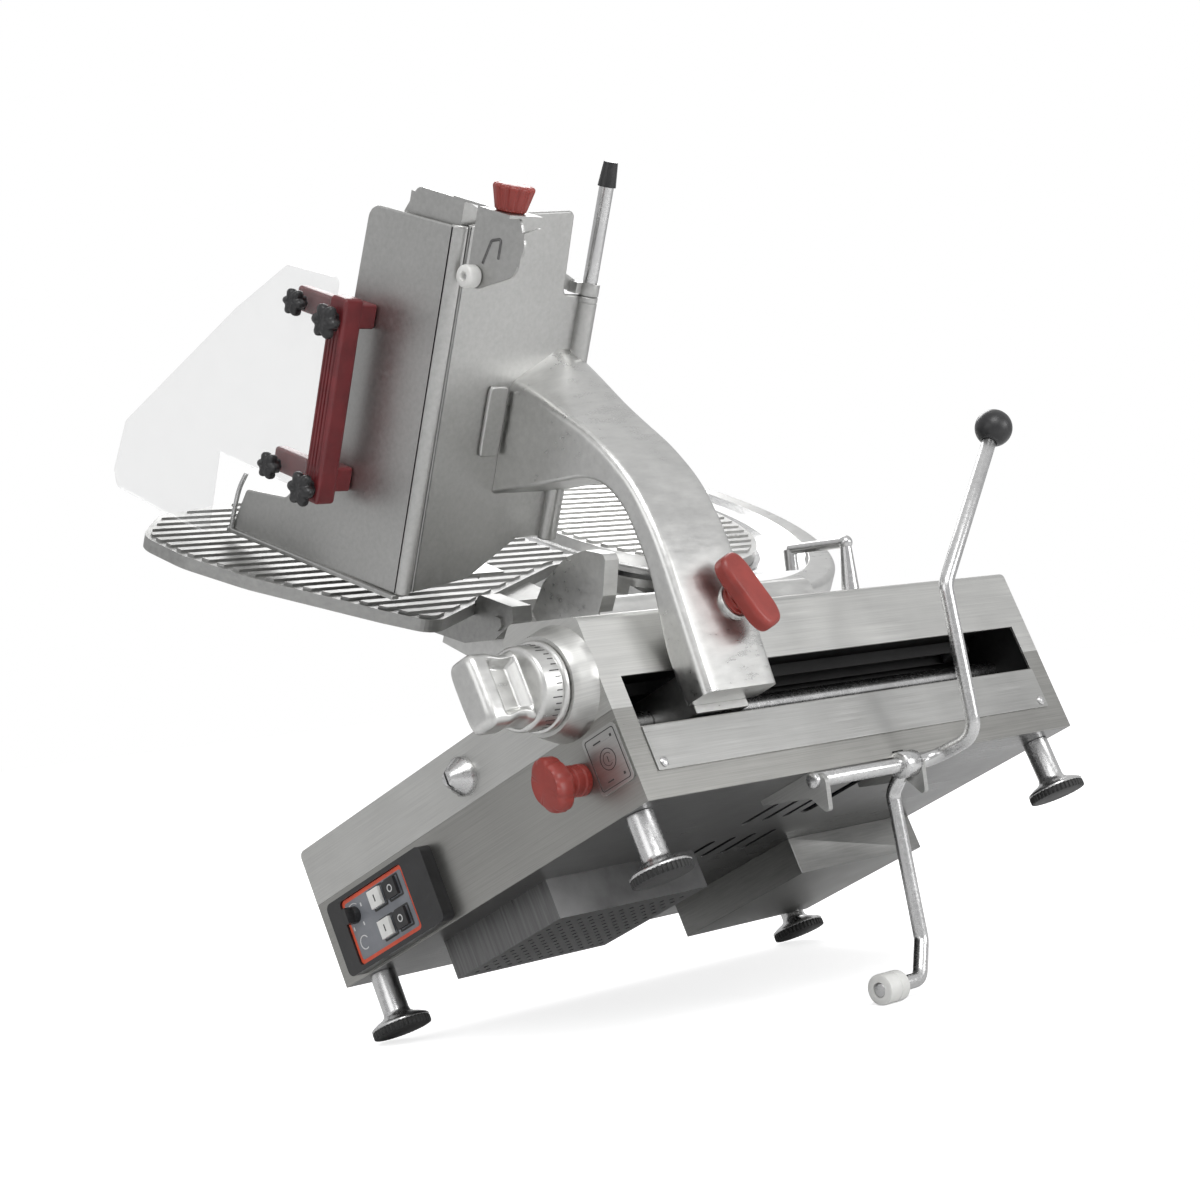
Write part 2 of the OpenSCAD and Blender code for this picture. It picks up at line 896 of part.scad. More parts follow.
module blade()
{
    r = blade_dia / 2;
    stand() color("whitesmoke")
        at_blade_centre()
            rotate_extrude($fn = round_fn * 2)
                polygon([[spindle_dia / 2 + fit, -dish - blade_t], [spindle_dia / 2 + fit, -dish],
                    [seat_dia / 2, -dish], [r - 3 * bevel, -dish], [r - 2 * bevel, -rib_h - blade_t],
                    [r - bevel, -rib_h - blade_t / 2], [r, 0], [r - bevel, -blade_t - rib_h],
                    [r - 2 * bevel, -rib_h - 2 * blade_t], [r - 3 * bevel, -dish - blade_t]]);
}

// Ribbed cover inside the dish, still while the blade turns
cover_dia = 254;
cover_t = 5;

module blade_cover()
{
    count = floor(cover_dia / rib_pitch / 2) - 1;
    stand() color("gainsboro")
        at_blade_centre() {
            translate([0, 0, -dish + gap * 2])
                cylinder(h = dish - rib_h - gap * 2, d = cover_dia, $fn = round_fn * 2);
            intersection() {
                translate([0, 0, -rib_h - cut])
                    cylinder(h = rib_h + cut, d = cover_dia - 2 * rib_w, $fn = round_fn * 2);
                for (i = [-count:count])
                    translate([i * rib_pitch - rib_w / 2, -cover_dia / 2, -rib_h - cut])
                        cube([rib_w, cover_dia, rib_h + cut]);
            }
        }
}

// Ring guard round the blade, open where the blade cuts
guard_h = 24;
guard_lip = 6;
guard_start = -28;
guard_turn = 250;
guard_clear = 4;
spoke_w = 20;

module ring_guard()
{
    r = guard_dia / 2;
    inner = blade_dia / 2 + guard_clear;
    stand() color("gainsboro")
        at_blade_centre() {
            rotate([0, 0, guard_start])
                rotate_extrude(angle = guard_turn, $fn = round_fn * 2)
                    outline([[inner, -rib_h, 0], [inner, -2 * guard_lip, 0], [r - guard_lip, -2 * guard_lip, 0],
                        [r - guard_lip, -guard_h, 0], [r, -guard_h, 0], [r, -rib_h, guard_lip]]);
            for (a = [guard_start + 40, guard_start + guard_turn / 2, guard_start + guard_turn - 40])
                rotate([0, 0, a])
                    translate([hub_dia / 2 - spoke_w, -spoke_w / 2, -hub_near])
                        cube([r - hub_dia / 2 + spoke_w - guard_lip / 2, spoke_w, 2 * guard_lip]);
        }
}

module blade_shaft()
{
    stand() color("silver")
        at_blade_centre()
            translate([0, 0, pulley_w - flange_t])
                cylinder(h = flange_t - pulley_w - dish + gap, d = spindle_dia, $fn = round_fn);
}

bearing_w = 14;

module shaft_bearings()
{
    stand() color("lightsteelblue")
        at_blade_centre()
            for (w = [-hub_far - bore_len, -hub_near - bearing_w])
                translate([0, 0, w])
                    difference() {
                        cylinder(h = bearing_w, d = bearing_dia - 2 * fit, $fn = round_fn);
                        translate([0, 0, -cut])
                            cylinder(h = bearing_w + 2 * cut, d = spindle_dia + 2 * fit, $fn = round_fn);
                    }
}

// Belt drive of the blade, from the motor in the base up to the hub
belt_u = 286;
belt_steps = 24;
big_pulley = 80;
small_pulley = 40;
belt_w = 16;
belt_t = 3;
flange_t = 2;
pulley_w = -hub_far - bore_len - belt_w - 4 * flange_t;

module pulley(dia, bore)
{
    difference() {
        union() {
            cylinder(h = belt_w + 2 * flange_t, d = dia, $fn = round_fn);
            cylinder(h = flange_t, d = dia + 3 * belt_t, $fn = round_fn);
            translate([0, 0, belt_w + flange_t + gap])
                cylinder(h = flange_t - gap, d = dia + 3 * belt_t, $fn = round_fn);
        }
        translate([0, 0, -cut])
            cylinder(h = belt_w + 2 * flange_t + 2 * cut, d = bore, $fn = round_fn);
    }
}

module blade_pulley()
{
    stand() color("dimgray")
        at_blade_centre()
            translate([0, 0, pulley_w])
                pulley(big_pulley, spindle_dia);
}

motor_shaft = 14;

module motor_pulley()
{
    stand() color("dimgray")
        at_blade_centre()
            translate([belt_u, 0, pulley_w])
                union() {
                    pulley(small_pulley, motor_shaft);
                    translate([0, 0, -motor_shaft])
                        cylinder(h = motor_shaft + belt_w + 3 * flange_t, d = motor_shaft, $fn = round_fn);
                }
}

module blade_belt()
{
    stand() color("#202020")
        at_blade_centre()
            translate([0, 0, pulley_w + flange_t + gap / 2])
                linear_extrude(belt_w)
                    difference() {
                        polygon(belt_loop(big_pulley / 2 + belt_t, small_pulley / 2 + belt_t));
                        polygon(belt_loop(big_pulley / 2 + gap, small_pulley / 2 + gap));
                    }
}

// Points round two pulleys that lie belt_u apart
function belt_loop(big, small) =
    let (lean = asin((big - small) / belt_u))
    [each arc(big, 90 - lean, 270 + lean, 0), each arc(small, lean - 90, 90 - lean, belt_u)];

function arc(r, from, to, x) =
    [for (i = [0:belt_steps]) let (a = from + (to - from) * i / belt_steps) [x + r * cos(a), r * sin(a)]];

// Motor on the bottom plate, its shaft parallel to the blade's
motor_dia = 90;
motor_len = 54;
motor_foot = 36;

module blade_motor()
{
    top = pulley_w - 2 * flange_t;
    seat = plane_point(blade_u + belt_u, top - motor_len * 0.75);
    stand() color("steelblue")
        difference() {
            union() {
                at_blade_centre()
                    translate([belt_u, 0, top - motor_len])
                        cylinder(h = motor_len, d = motor_dia, $fn = round_fn);
                translate([seat[0] - motor_foot, blade_v - motor_foot / 2, sheet])
                    cube([2 * motor_foot, motor_foot, seat[1] - sheet]);
            }
            at_blade_centre()
                translate([belt_u, 0, pulley_w - motor_shaft - cut])
                    cylinder(h = motor_dia, d = motor_shaft + 2 * fit, $fn = round_fn);
        }
}

// Guide rod and carriage block inside the liner
rod_x = 350;
rod_z = 76;
block_near = 82;
block_len = 60;
block_low = 60;
block_top = 94;
block_left = 334;
belt_x = 345;
belt_front = 40;
belt_back = 500;
drive_r = 12;
drive_h = 10;
pulley_shaft = 8;
belt_low = 97;
drive_motor_dia = 45;

module guide_rod()
{
    stand() color("silver")
        translate([rod_x, liner_end, rod_z])
            rotate([-90, 0, 0])
                cylinder(h = base_d - 2 * liner_end, d = rod_dia, $fn = round_fn);
}

module carriage_block()
{
    stand() color("gray")
        difference() {
            union() {
                translate([block_left, block_near, block_low])
                    cube([arm_in - block_left, block_len, block_top - block_low]);
                translate([belt_x - drive_r / 2, block_near + block_len / 4, block_top - cut])
                    cube([drive_r * 1.2, block_len / 2, belt_low - block_top + cut - gap]);
            }
            translate([rod_x, block_near - cut, rod_z])
                rotate([-90, 0, 0])
                    cylinder(h = block_len + 2 * cut, d = rod_dia + 2 * fit, $fn = round_fn);
        }
}

module carriage_belt()
{
    stand() color("#303030")
        translate([belt_x, belt_front, belt_low])
            difference() {
                flat_loop(drive_r + belt_t / 2, 0);
                flat_loop(drive_r + fit, cut);
            }
}

module flat_loop(r, over)
{
    translate([0, 0, -over])
        linear_extrude(drive_h + 2 * over) {
            circle(r = r, $fn = round_fn);
            translate([0, belt_back - belt_front])
                circle(r = r, $fn = round_fn);
            translate([-r, 0])
                square([2 * r, belt_back - belt_front]);
        }
}

module small_pulley_at(y)
{
    stand() color("dimgray")
        translate([belt_x, y, belt_low]) {
            cylinder(h = drive_h, r = drive_r, $fn = round_fn);
            cylinder(h = liner_high - belt_low + 2 * sheet, d = pulley_shaft, $fn = round_fn);
        }
}

module drive_pulley()
{
    small_pulley_at(belt_back);
}

module idler_pulley()
{
    small_pulley_at(belt_front);
}

module drive_motor()
{
    low = liner_high;
    stand() color("steelblue")
        translate([belt_x, belt_back, low])
            difference() {
                cylinder(h = block_h - low - 2 * sheet, d = drive_motor_dia, $fn = round_fn);
                translate([0, 0, -cut])
                    cylinder(h = 2 * sheet + 2 * cut, d = pulley_shaft + 2 * fit, $fn = round_fn);
            }
}

// Cast arm from the slot up to the tray: outline seen from the front
arm_in = 404;
arm_near = 71;
arm_far = 153;
arm_low = 66;
flare_y = 121;
flare_n = 548;
flare_out = 60;

module arm()
{
    root = 108;
    slope = tan(90 - tray_slant);
    sleeve_room = sleeve_dia / 2 + gap;
    stand() color("gainsboro")
        difference() {
            union() {
                along_y(arm_near, arm_far)
                    outline([[arm_in, arm_low, 0], [432, arm_low, 6], [443, 196, 200], [436, 272, 60], [361, 379, 0],
                        [361, 361 * slope, 0], [295, 295 * slope, 0], [295, 303, 0], [350, 284, 60], [404, 262, 0],
                        [421, 248, 30], [421, 190, 60], [arm_in, root, 20]]);
                on_tray()
                    hull() {
                        along_x(gap, tray_wall)
                            polygon([[arm_near, 516], [flare_y, flare_n], [arm_far, 537], [arm_far, 470], [arm_near, 470]]);
                        along_x(flare_out, flare_out + cut)
                            polygon([[arm_near, 512], [arm_far, 512], [arm_far, 470], [arm_near, 470]]);
                    }
            }
            on_tray()
                translate([-base_w + gap, 0, 0])
                    cube([base_w, base_d, 2 * base_d]);
            on_tray()
                translate([-cut, sleeve_y - sleeve_room, sleeve_low])
                    cube([rod_q + sleeve_room + cut, 2 * sleeve_room, base_d]);
            translate([0, knob_y, knob_z])
                rotate([0, 90, 0])
                    cylinder(h = 2 * base_w, d = knob_stud + 2 * fit, $fn = round_fn);
        }
}

// T-shaped knob that locks the arm
knob_y = 130;
knob_z = 134;
knob_stud = 10;
knob_neck = 26;
knob_boss = 440;
knob_bar_x = 448;
knob_bar_t = 15;
knob_bar_l = 66;
knob_bar_w = 30;
knob_turn = 21;

module t_knob()
{
    stand() color("#b23a34")
        translate([0, knob_y, knob_z])
            rotate([knob_turn, 0, 0]) {
                translate([knob_boss - knob_neck, 0, 0])
                    rotate([0, 90, 0])
                        cylinder(h = knob_bar_x - knob_boss + knob_neck + cut, d = knob_stud, $fn = round_fn);
                translate([knob_boss + gap, 0, 0])
                    rotate([0, 90, 0])
                        cylinder(h = knob_bar_x - knob_boss + cut, d = knob_neck, $fn = round_fn);
                along_x(knob_bar_x, knob_bar_x + knob_bar_t)
                    round_rect([-knob_bar_w / 2, -knob_bar_l / 2], [knob_bar_w / 2, knob_bar_l / 2],
                        knob_bar_w / 2 - gap);
            }
}

// Product tray: floor with the rod's sleeve and the front wall, one casting
wall_front = -9;
floor_back = 150;
sleeve_y = 141;
sleeve_low = 385;
sleeve_top = 591;
sleeve_dia = 17;
rod_q = 1;
wall_left = -226;
wall_low_left = 331;
wall_low_right = 343;
wall_shelf = 372;
tab_left = -212;
wall_step = -118;
flange_fwd = 4;

module product_tray()
{
    stand() color("lightgray")
        on_tray()
            difference() {
                union() {
                    along_x(-tray_wall, 0)
                        outline([[wall_front, wall_low_right + 18, 0], [20, 348, 30], [60, 354, 20], [108, 386, 0],
                            [floor_back - 6, 386, 4], [floor_back - 6, sleeve_top, 2], [115, sleeve_top, 4],
                            [112, 659, 6], [58, 655, 20], [wall_front, tray_top, 0]]);
                    along_y(wall_front, wall_front + tray_wall)
                        outline([[wall_left, wall_low_left, 0], [0, wall_low_right, 0], [0, tray_top, 6],
                            [-108, tray_top - 4, 12], [-111, 560, 0], [wall_step, 423, 0],
                            [-160, wall_shelf + 8, 6], [tab_left, wall_shelf, 4]]);
                    along_y(wall_front - flange_fwd, wall_front + tray_wall)
                        outline([[wall_left, wall_low_left, 0], [-6, wall_low_right - 4, 0],
                            [-6, wall_low_right, 0], [wall_left, wall_low_left + tray_wall, 0]]);
                    translate([rod_q, sleeve_y, sleeve_low])
                        cylinder(h = sleeve_top - sleeve_low, d = sleeve_dia, $fn = round_fn);
                    translate([0, 48, 458])
                        cube([4, 20, 58]);
                }
                translate([rod_q, sleeve_y, sleeve_low - cut])
                    cylinder(h = sleeve_top, d = tray_rod_dia + 2 * fit, $fn = round_fn);
            }
}

rod_top = 700;
cap_len = 20;
cap_dia = 15;

module slide_rod()
{
    stand() color("silver")
        on_tray()
            translate([rod_q, sleeve_y, sleeve_low])
                cylinder(h = rod_top - cap_len - sleeve_low, d = tray_rod_dia, $fn = round_fn);
}

module rod_cap()
{
    stand() color("#202020")
        on_tray()
            translate([rod_q, sleeve_y, rod_top - cap_len])
                cylinder(h = cap_len, d1 = cap_dia, d2 = cap_dia - cap_len / 6, $fn = round_fn);
}

// Pusher: a carrier sheet from the slide rod round the tray's top, with the plate inside
collar_len = 10;
collar_out = 17;
carrier_t = 2.5;
carrier_q = -9;
carrier_y = -2;
bracket_knob_q = 45;
bracket_knob_y = 2;
bracket_top = 662;
press_low = 352;

module pusher_carrier()
{
    stand() color("gainsboro")
        on_tray() {
            difference() {
                translate([rod_q, sleeve_y, sleeve_top + gap])
                    cylinder(h = collar_len, d = collar_out, $fn = round_fn);
                translate([rod_q, sleeve_y, sleeve_top - cut])
                    cylinder(h = 2 * collar_len, d = tray_rod_dia + 2 * fit, $fn = round_fn);
            }
            difference() {
                translate([carrier_q, sleeve_y - collar_out / 2 - 6, sleeve_top + gap + 1])
                    cube([rod_q - carrier_q, 10, collar_len - 1]);
                translate([rod_q, sleeve_y, sleeve_top - cut])
                    cylinder(h = 2 * collar_len, d = collar_out - cut, $fn = round_fn);
            }
            along_x(carrier_q, carrier_q + carrier_t)
                outline([[carrier_y, 612, 0], [sleeve_y - collar_out / 2, sleeve_top + gap + 1, 0],
                    [sleeve_y - collar_out / 2, sleeve_top + collar_len, 0], [60, 634, 10], [carrier_y, bracket_top, 0]]);
            along_y(carrier_y, carrier_y + carrier_t)
                outline([[-75, tray_top + gap - 5, 3], [carrier_q + carrier_t, 604, 0], [carrier_q + carrier_t, tray_top + 19, 0],
                    [-62, bracket_top - 1, 8]]);
            along_y(carrier_y, carrier_y + carrier_t)
                outline([[-20, tray_top + 18, 0], [-20, bracket_top, 0], [56, bracket_top, 12],
                    [67, 640, 12], [60, 616, 12], [22, 598, 8], [9, 600, 4], [9, tray_top + 18, 0]]);
            translate([24, carrier_y - 12, bracket_top - carrier_t])
                cube([34, 34, carrier_t]);
            along_x(62, 62 + carrier_t)
                outline([[carrier_y, 624, 0], [20, 632, 6], [20, bracket_top - 6, 6], [carrier_y, bracket_top - 12, 0]]);
        }
}

module pusher_plate()
{
    stem_q = -60;
    stand() color("gainsboro")
        on_tray() {
            translate([stem_q - 12, carrier_y + carrier_t, press_low])
                cube([24, carrier_t, bracket_top - 6 - press_low]);
            translate([stem_q - 40, carrier_y + carrier_t, press_low])
                cube([90, 110, carrier_t]);
            for (i = [0:5], j = [0:4])
                translate([stem_q - 30 + 14 * i, 20 + 18 * j, press_low - 6])
                    cylinder(h = 6 + cut, d1 = 1, d2 = 5, $fn = 16);
        }
}

module pusher_knob()
{
    knob_h = 21;
    stand() color("#b23a34")
        on_tray()
            translate([bracket_knob_q - 4, bracket_knob_y, bracket_top + gap])
                difference() {
                    cylinder(h = knob_h, d1 = 25, d2 = 34, $fn = round_fn);
                    for (i = [0:7])
                        rotate([0, 0, 45 * i])
                            translate([20, 0, -cut])
                                cylinder(h = knob_h + 2 * cut, d = 8, $fn = 24);
                }
}

// Bent wire latch on the carrier's face
module pusher_latch()
{
    stand() color("#606060")
        on_tray()
            along_y(carrier_y - 3, carrier_y)
                polygon([[22.5, 618], [25.7, 618], [31, 636], [39, 639], [39, 624], [42, 624], [42, 643], [29, 639]]);
}

module tray_roller()
{
    stand() color("white")
        on_tray()
            translate([18, carrier_y - gap, 607])
                rotate([90, 0, 0])
                    rotate_extrude($fn = round_fn)
                        outline([[0, 0, 0], [9, 0, 2], [9, 12, 3], [3, 12, 0], [3, 10, 0], [0, 10, 0]]);
}

// Handle: ribbed bar on two arms from the front wall
handle_y = -34;
bar_left = -98;
bar_right = -78;
bar_low = 398;
bar_top = 566;
bar_depth = 20;
grip_arm_h = 20;
grip_arm_low = 408;
grip_arm_high = 542;
clip_left = -150;
clip_t = 14;

module handle()
{
    stand() color("#8e2a30")
        on_tray() {
            difference() {
                translate([bar_left, handle_y - bar_depth / 2, bar_low])
                    cube([bar_right - bar_left, bar_depth, bar_top - bar_low]);
                for (i = [0:3])
                    translate([bar_left + 3 + 4.5 * i, handle_y - bar_depth / 2 - cut, bar_low + grip_arm_h])
                        cube([1.5, 2 + cut, bar_top - bar_low - 2 * grip_arm_h]);
            }
            for (n = [grip_arm_low, grip_arm_high])
                translate([0, 0, n]) {
                    translate([bar_left, handle_y, 0])
                        cube([bar_right - bar_left - gap, wall_front - handle_y, grip_arm_h]);
                    translate([clip_left, guard_y + guard_t, 0])
                        cube([bar_left - clip_left + cut, clip_t, grip_arm_h]);
                }
        }
}

// Clear guard in front of the hand
guard_y = -41;
guard_t = 5;

module finger_guard()
{
    stand() color([0.9, 0.95, 0.95, 0.4])
        on_tray()
            along_y(guard_y, guard_y + guard_t)
                outline([[-219, 333, 6], [-275, 333, 6], [-351, 336, 8], [-358, 350, 8], [-350, 396, 8],
                    [-218, 527, 12], [-160, 576, 8], [bar_left - gap, 579, 6], [bar_left - gap, 404, 6],
                    [-219, 404, 0]]);
}

// Star knobs with their bolts
star_dia = 29;
small_star = 23;
star_h = 14;
bolt_dia = 8;

module star_knob(q, n, front, dia)
{
    stand() color("#202020")
        on_tray()
            translate([q, front, n])
                facing_front() {
                    cylinder(h = star_h, d = dia * 0.8, $fn = round_fn);
                    for (i = [0:4])
                        rotate([0, 0, 72 * i])
                            translate([dia * 0.36, 0, star_h * 0.35])
                                cylinder(h = star_h * 0.65, d = dia * 0.3, $fn = 24);
                }
}

module star_knob_1()
{
    star_knob(-134, 551, guard_y, small_star);
}

module star_knob_2()
{
    star_knob(-89, 546, handle_y - bar_depth / 2, star_dia);
}

module star_knob_3()
{
    star_knob(-137, 415, guard_y, small_star);
}

module star_knob_4()
{
    star_knob(-89, 409, handle_y - bar_depth / 2, star_dia);
}

// Release bar of the blade cover, on its post on the raised block
post_x = base_w - 12;
post_y = 340;
post_h = 40;
post_dia = 15;
post_bar = 62;
post_drop = 18;
module release_bar()
{
    lean = atan((crown_h - block_h) / crown_run);
    stand() color("silver")
        translate([post_x, post_y, block_h + (base_w - post_x) * tan(lean)])
            rotate([0, lean, 0]) {
                cylinder(h = post_h, d1 = post_dia, d2 = post_dia * 0.6, $fn = round_fn);
                translate([0, 0, post_h])
                    sphere(d = post_dia * 0.8, $fn = round_fn);
                translate([0, 0, post_h])
                    rotate([0, -90, 0])
                        cylinder(h = post_bar, d = post_dia * 0.6, $fn = round_fn);
                translate([-post_bar, 0, post_h - post_drop])
                    cylinder(h = post_drop, d = post_dia * 0.75, $fn = round_fn);
            }
}

// Lever brackets under the slot side
bracket_front = 183;
bracket_back = 304.8;
bracket_t = 5;
bracket_r = 11;
bracket_arm = 60;
bracket_tip = 30;

module lever_brackets()
{
    stand() color("silver")
        for (y = [bracket_front, bracket_back])
            difference() {
                along_y(y, y + bracket_t)
                    outline([[pivot_x - bracket_arm, 0, 0], [pivot_x - bracket_arm, -2 * sheet, 0],
                        [pivot_x - bracket_r, pivot_z - bracket_r, 6], [pivot_x, pivot_z - bracket_tip, 3],
                        [pivot_x + bracket_r, pivot_z, 8], [base_w, 0, 0]]);
                translate([pivot_x, y - cut, pivot_z])
                    rotate([-90, 0, 0])
                        cylinder(h = bracket_t + 2 * cut, d = lever_dia + 2 * fit, $fn = round_fn);
            }
}

handle_end_y = 333;
leg_y = 297;
axle_y = 238;
lever_bend = 16;
hub_len = 13;
hub_wall = 1.9;
leg_start = 6.3;
knee_x = 378;
knee_z = -24;
elbow = [484, handle_end_y, 112];
tip_way = unit([34, 90, 108]);
tip_len = 155;
ball_seat = 8;

module lever_rod()
{
    pivot_start = bracket_front - bracket_t;
    stand() color("silver") {
        bent_rod([[pivot_x, pivot_start, pivot_z], [pivot_x, handle_end_y, pivot_z], [452, handle_end_y, pivot_z],
            elbow, elbow + tip_len * tip_way], lever_dia, lever_bend);
        translate([pivot_x, leg_y - hub_len / 2, pivot_z])
            rotate([-90, 0, 0])
                cylinder(h = hub_len, d = lever_dia + hub_wall * 2, $fn = round_fn);
        bent_rod([[pivot_x, leg_y, pivot_z] + leg_start * unit([knee_x - pivot_x, 0, knee_z - pivot_z]),
            [knee_x, leg_y, knee_z], [roller_x + 2, leg_y, -140],
            [roller_x, axle_y + 40, roller_z], [roller_x, axle_y - roller_dia / 2, roller_z]], lever_dia, lever_bend);
    }
}

module lever_ball()
{
    centre = elbow + (tip_len + ball_seat) * tip_way;
    stand() color("black")
        difference() {
            translate(centre)
                sphere(d = ball_dia, $fn = round_fn);
            rod_between(centre - ball_dia * tip_way, elbow + tip_len * tip_way, lever_dia + 2 * fit);
        }
}

module floor_roller()
{
    stand() color("white")
        translate([roller_x, axle_y, roller_z])
            rotate([90, 0, 0])
                difference() {
                    cylinder(h = roller_dia, d = roller_dia, center = true, $fn = round_fn);
                    cylinder(h = 2 * roller_dia, d = lever_dia + 2 * fit, center = true, $fn = round_fn);
                }
}

base_tub();
top_cover();
bottom_plate();
slot_liner();
slot_strip();
cover_screws();
legs();
foot_pads();
vent_box();
drive_box();
cable_gland();
panel_bezel();
panel_face();
panel_switch();
blade_start_button();
blade_stop_button();
carriage_start_button();
carriage_stop_button();
selector_plate();
selector_knob();
lock_cone();
index_knob();
gauge_plate();
frame_casting();
ring_guard();
blade();
blade_cover();
blade_shaft();
shaft_bearings();
blade_pulley();
motor_pulley();
blade_belt();
blade_motor();
guide_rod();
carriage_block();
carriage_belt();
drive_pulley();
idler_pulley();
drive_motor();
arm();
t_knob();
product_tray();
slide_rod();
rod_cap();
pusher_carrier();
pusher_plate();
pusher_knob();
pusher_latch();
tray_roller();
handle();
finger_guard();
star_knob_1();
star_knob_2();
star_knob_3();
star_knob_4();
release_bar();
lever_brackets();
lever_rod();
lever_ball();
floor_roller();
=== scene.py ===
# Looks of an electric food slicer that stands tilted on two feet and its lift lever.
# Points are given in machine millimetres (X to the slot side, Y to the back, Z up from
# the base) or in the tray's frame, and turned to the row frame in metres.
import bmesh
import bpy
import math
import numpy as np
from mathutils import Matrix, Vector


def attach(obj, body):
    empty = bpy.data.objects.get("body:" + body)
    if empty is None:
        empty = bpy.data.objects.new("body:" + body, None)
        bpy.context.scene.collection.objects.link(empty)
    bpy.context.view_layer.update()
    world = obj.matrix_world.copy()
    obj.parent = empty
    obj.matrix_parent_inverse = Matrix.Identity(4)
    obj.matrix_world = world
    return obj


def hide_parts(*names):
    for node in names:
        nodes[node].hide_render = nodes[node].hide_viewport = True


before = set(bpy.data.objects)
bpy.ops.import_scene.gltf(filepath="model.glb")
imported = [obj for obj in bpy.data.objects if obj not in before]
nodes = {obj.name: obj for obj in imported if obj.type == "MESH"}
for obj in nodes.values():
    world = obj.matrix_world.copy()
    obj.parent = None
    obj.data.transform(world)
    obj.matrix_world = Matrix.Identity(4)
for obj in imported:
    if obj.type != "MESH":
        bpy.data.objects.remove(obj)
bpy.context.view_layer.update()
print("stage: frame loaded,", len(nodes), "nodes")

place = {
    "tilt": 21.1302,  # degrees about Y that the slot side is raised
    "shift": (-80.73, -294.85, 46.7013),  # mm from the tilted base to the row frame
    "traySlant": 44.0,  # degrees that the tray's floor leans from upright to the slot side
}


# Points turned about Y by degrees t: (x cos t - z sin t, y, x sin t + z cos t)
def swung(points, degrees):
    p = np.asarray(points, float)
    c, s = math.cos(math.radians(degrees)), math.sin(math.radians(degrees))
    return np.stack([p[:, 0] * c - p[:, 2] * s, p[:, 1], p[:, 0] * s + p[:, 2] * c], 1)


# Machine millimetres to row metres: turned by the tilt, then shifted
def machine(points):
    return (swung(points, place["tilt"]) + np.array(place["shift"])) / 1000


# Tray frame (q out under the floor, y to the back, n up the floor's slope) to row metres
def tray(points):
    return machine(swung(points, -place["traySlant"]))


# A frame at a point whose third axis points to the front: local (across, up, out)
def facing(at, base=machine):
    def placed(points):
        p = np.asarray(points, float)
        return base(np.stack([at[0] + p[:, 0], at[1] - p[:, 2], at[2] + p[:, 1]], 1))
    return placed


# A frame at a point whose third axis runs along machine X, its other two turned by degrees
def alongX(at, turn=0.0):
    c, s = math.cos(math.radians(turn)), math.sin(math.radians(turn))

    def placed(points):
        p = np.asarray(points, float)
        return machine(np.stack([at[0] + p[:, 2], at[1] + p[:, 0] * c - p[:, 1] * s,
                                 at[2] + p[:, 0] * s + p[:, 1] * c], 1))
    return placed


# Stage one: materials

# A node's inputs set or linked by name; i0, i1 and so on mean inputs by number
def feed(tree, target, inputs):
    for key, value in inputs.items():
        numbered = key[0] == "i" and key[1:].isdigit()
        socket = target.inputs[int(key[1:]) if numbered else key.replace("_", " ")]
        if isinstance(value, bpy.types.NodeSocket):
            tree.links.new(value, socket)
        else:
            socket.default_value = value


# A node tree's next node, with its settings and inputs
def node(tree, kind, settings=None, **inputs):
    made = tree.nodes.new(kind)
    for key, value in (settings or {}).items():
        setattr(made, key, value)
    feed(tree, made, inputs)
    return made


# Object coordinates turned into the machine's axes and stretched along a grain
def grainCoords(tree, grain):
    coords = node(tree, "ShaderNodeTexCoord")
    mapped = node(tree, "ShaderNodeMapping", {"vector_type": "TEXTURE"}, Vector=coords.outputs["Object"],
                  Rotation=(0.0, -math.radians(place["tilt"]), 0.0),
                  Scale=tuple(1.0 / g for g in grain))
    return mapped.outputs["Vector"]


# Noise from 0 to 1 along a grain
def noise(tree, scale, detail=5.0, rough=0.6, grain=(1, 1, 1)):
    return node(tree, "ShaderNodeTexNoise", Vector=grainCoords(tree, grain), Scale=scale, Detail=detail,
                Roughness=rough).outputs["Fac"]


# A colour that goes from low to high while the factor goes from start to end
def rampNode(tree, factor, low, high, start=0.3, end=0.7):
    ramp = node(tree, "ShaderNodeValToRGB", Fac=factor)
    for element, position, colour in zip(ramp.color_ramp.elements, (start, end), (low, high)):
        element.position = position
        element.color = (*colour, 1.0)
    return ramp.outputs["Color"]


# A number that goes from low to high while the value goes from start to end
def spanNode(tree, value, low, high, start=0.3, end=0.7):
    return node(tree, "ShaderNodeMapRange", i0=value, i1=start, i2=end, i3=low, i4=high).outputs["Result"]


# Two colours mixed by a factor, or multiplied
def mixNode(tree, factor, first, second, how="MIX"):
    return node(tree, "ShaderNodeMix", {"data_type": "RGBA", "blend_type": how},
                i0=factor, i6=first, i7=second).outputs[2]


# The result of an operation on two or three numbers
def mathNode(tree, operation, *values):
    inputs = {"i%d" % i: value for i, value in enumerate(values)}
    return node(tree, "ShaderNodeMath", {"operation": operation}, **inputs).outputs[0]


# A named material, its node tree and its shader
def newFinish(name, shown):
    made = bpy.data.materials.new(name)
    made.use_nodes = True
    made.diffuse_color = shown
    return made, made.node_tree, made.node_tree.nodes["Principled BSDF"]


metalSurface = {"stain": 0.86, "stainSpan": (0.25, 0.75), "stainRough": (-0.04, 0.05), "reliefDeep": 0.0004}


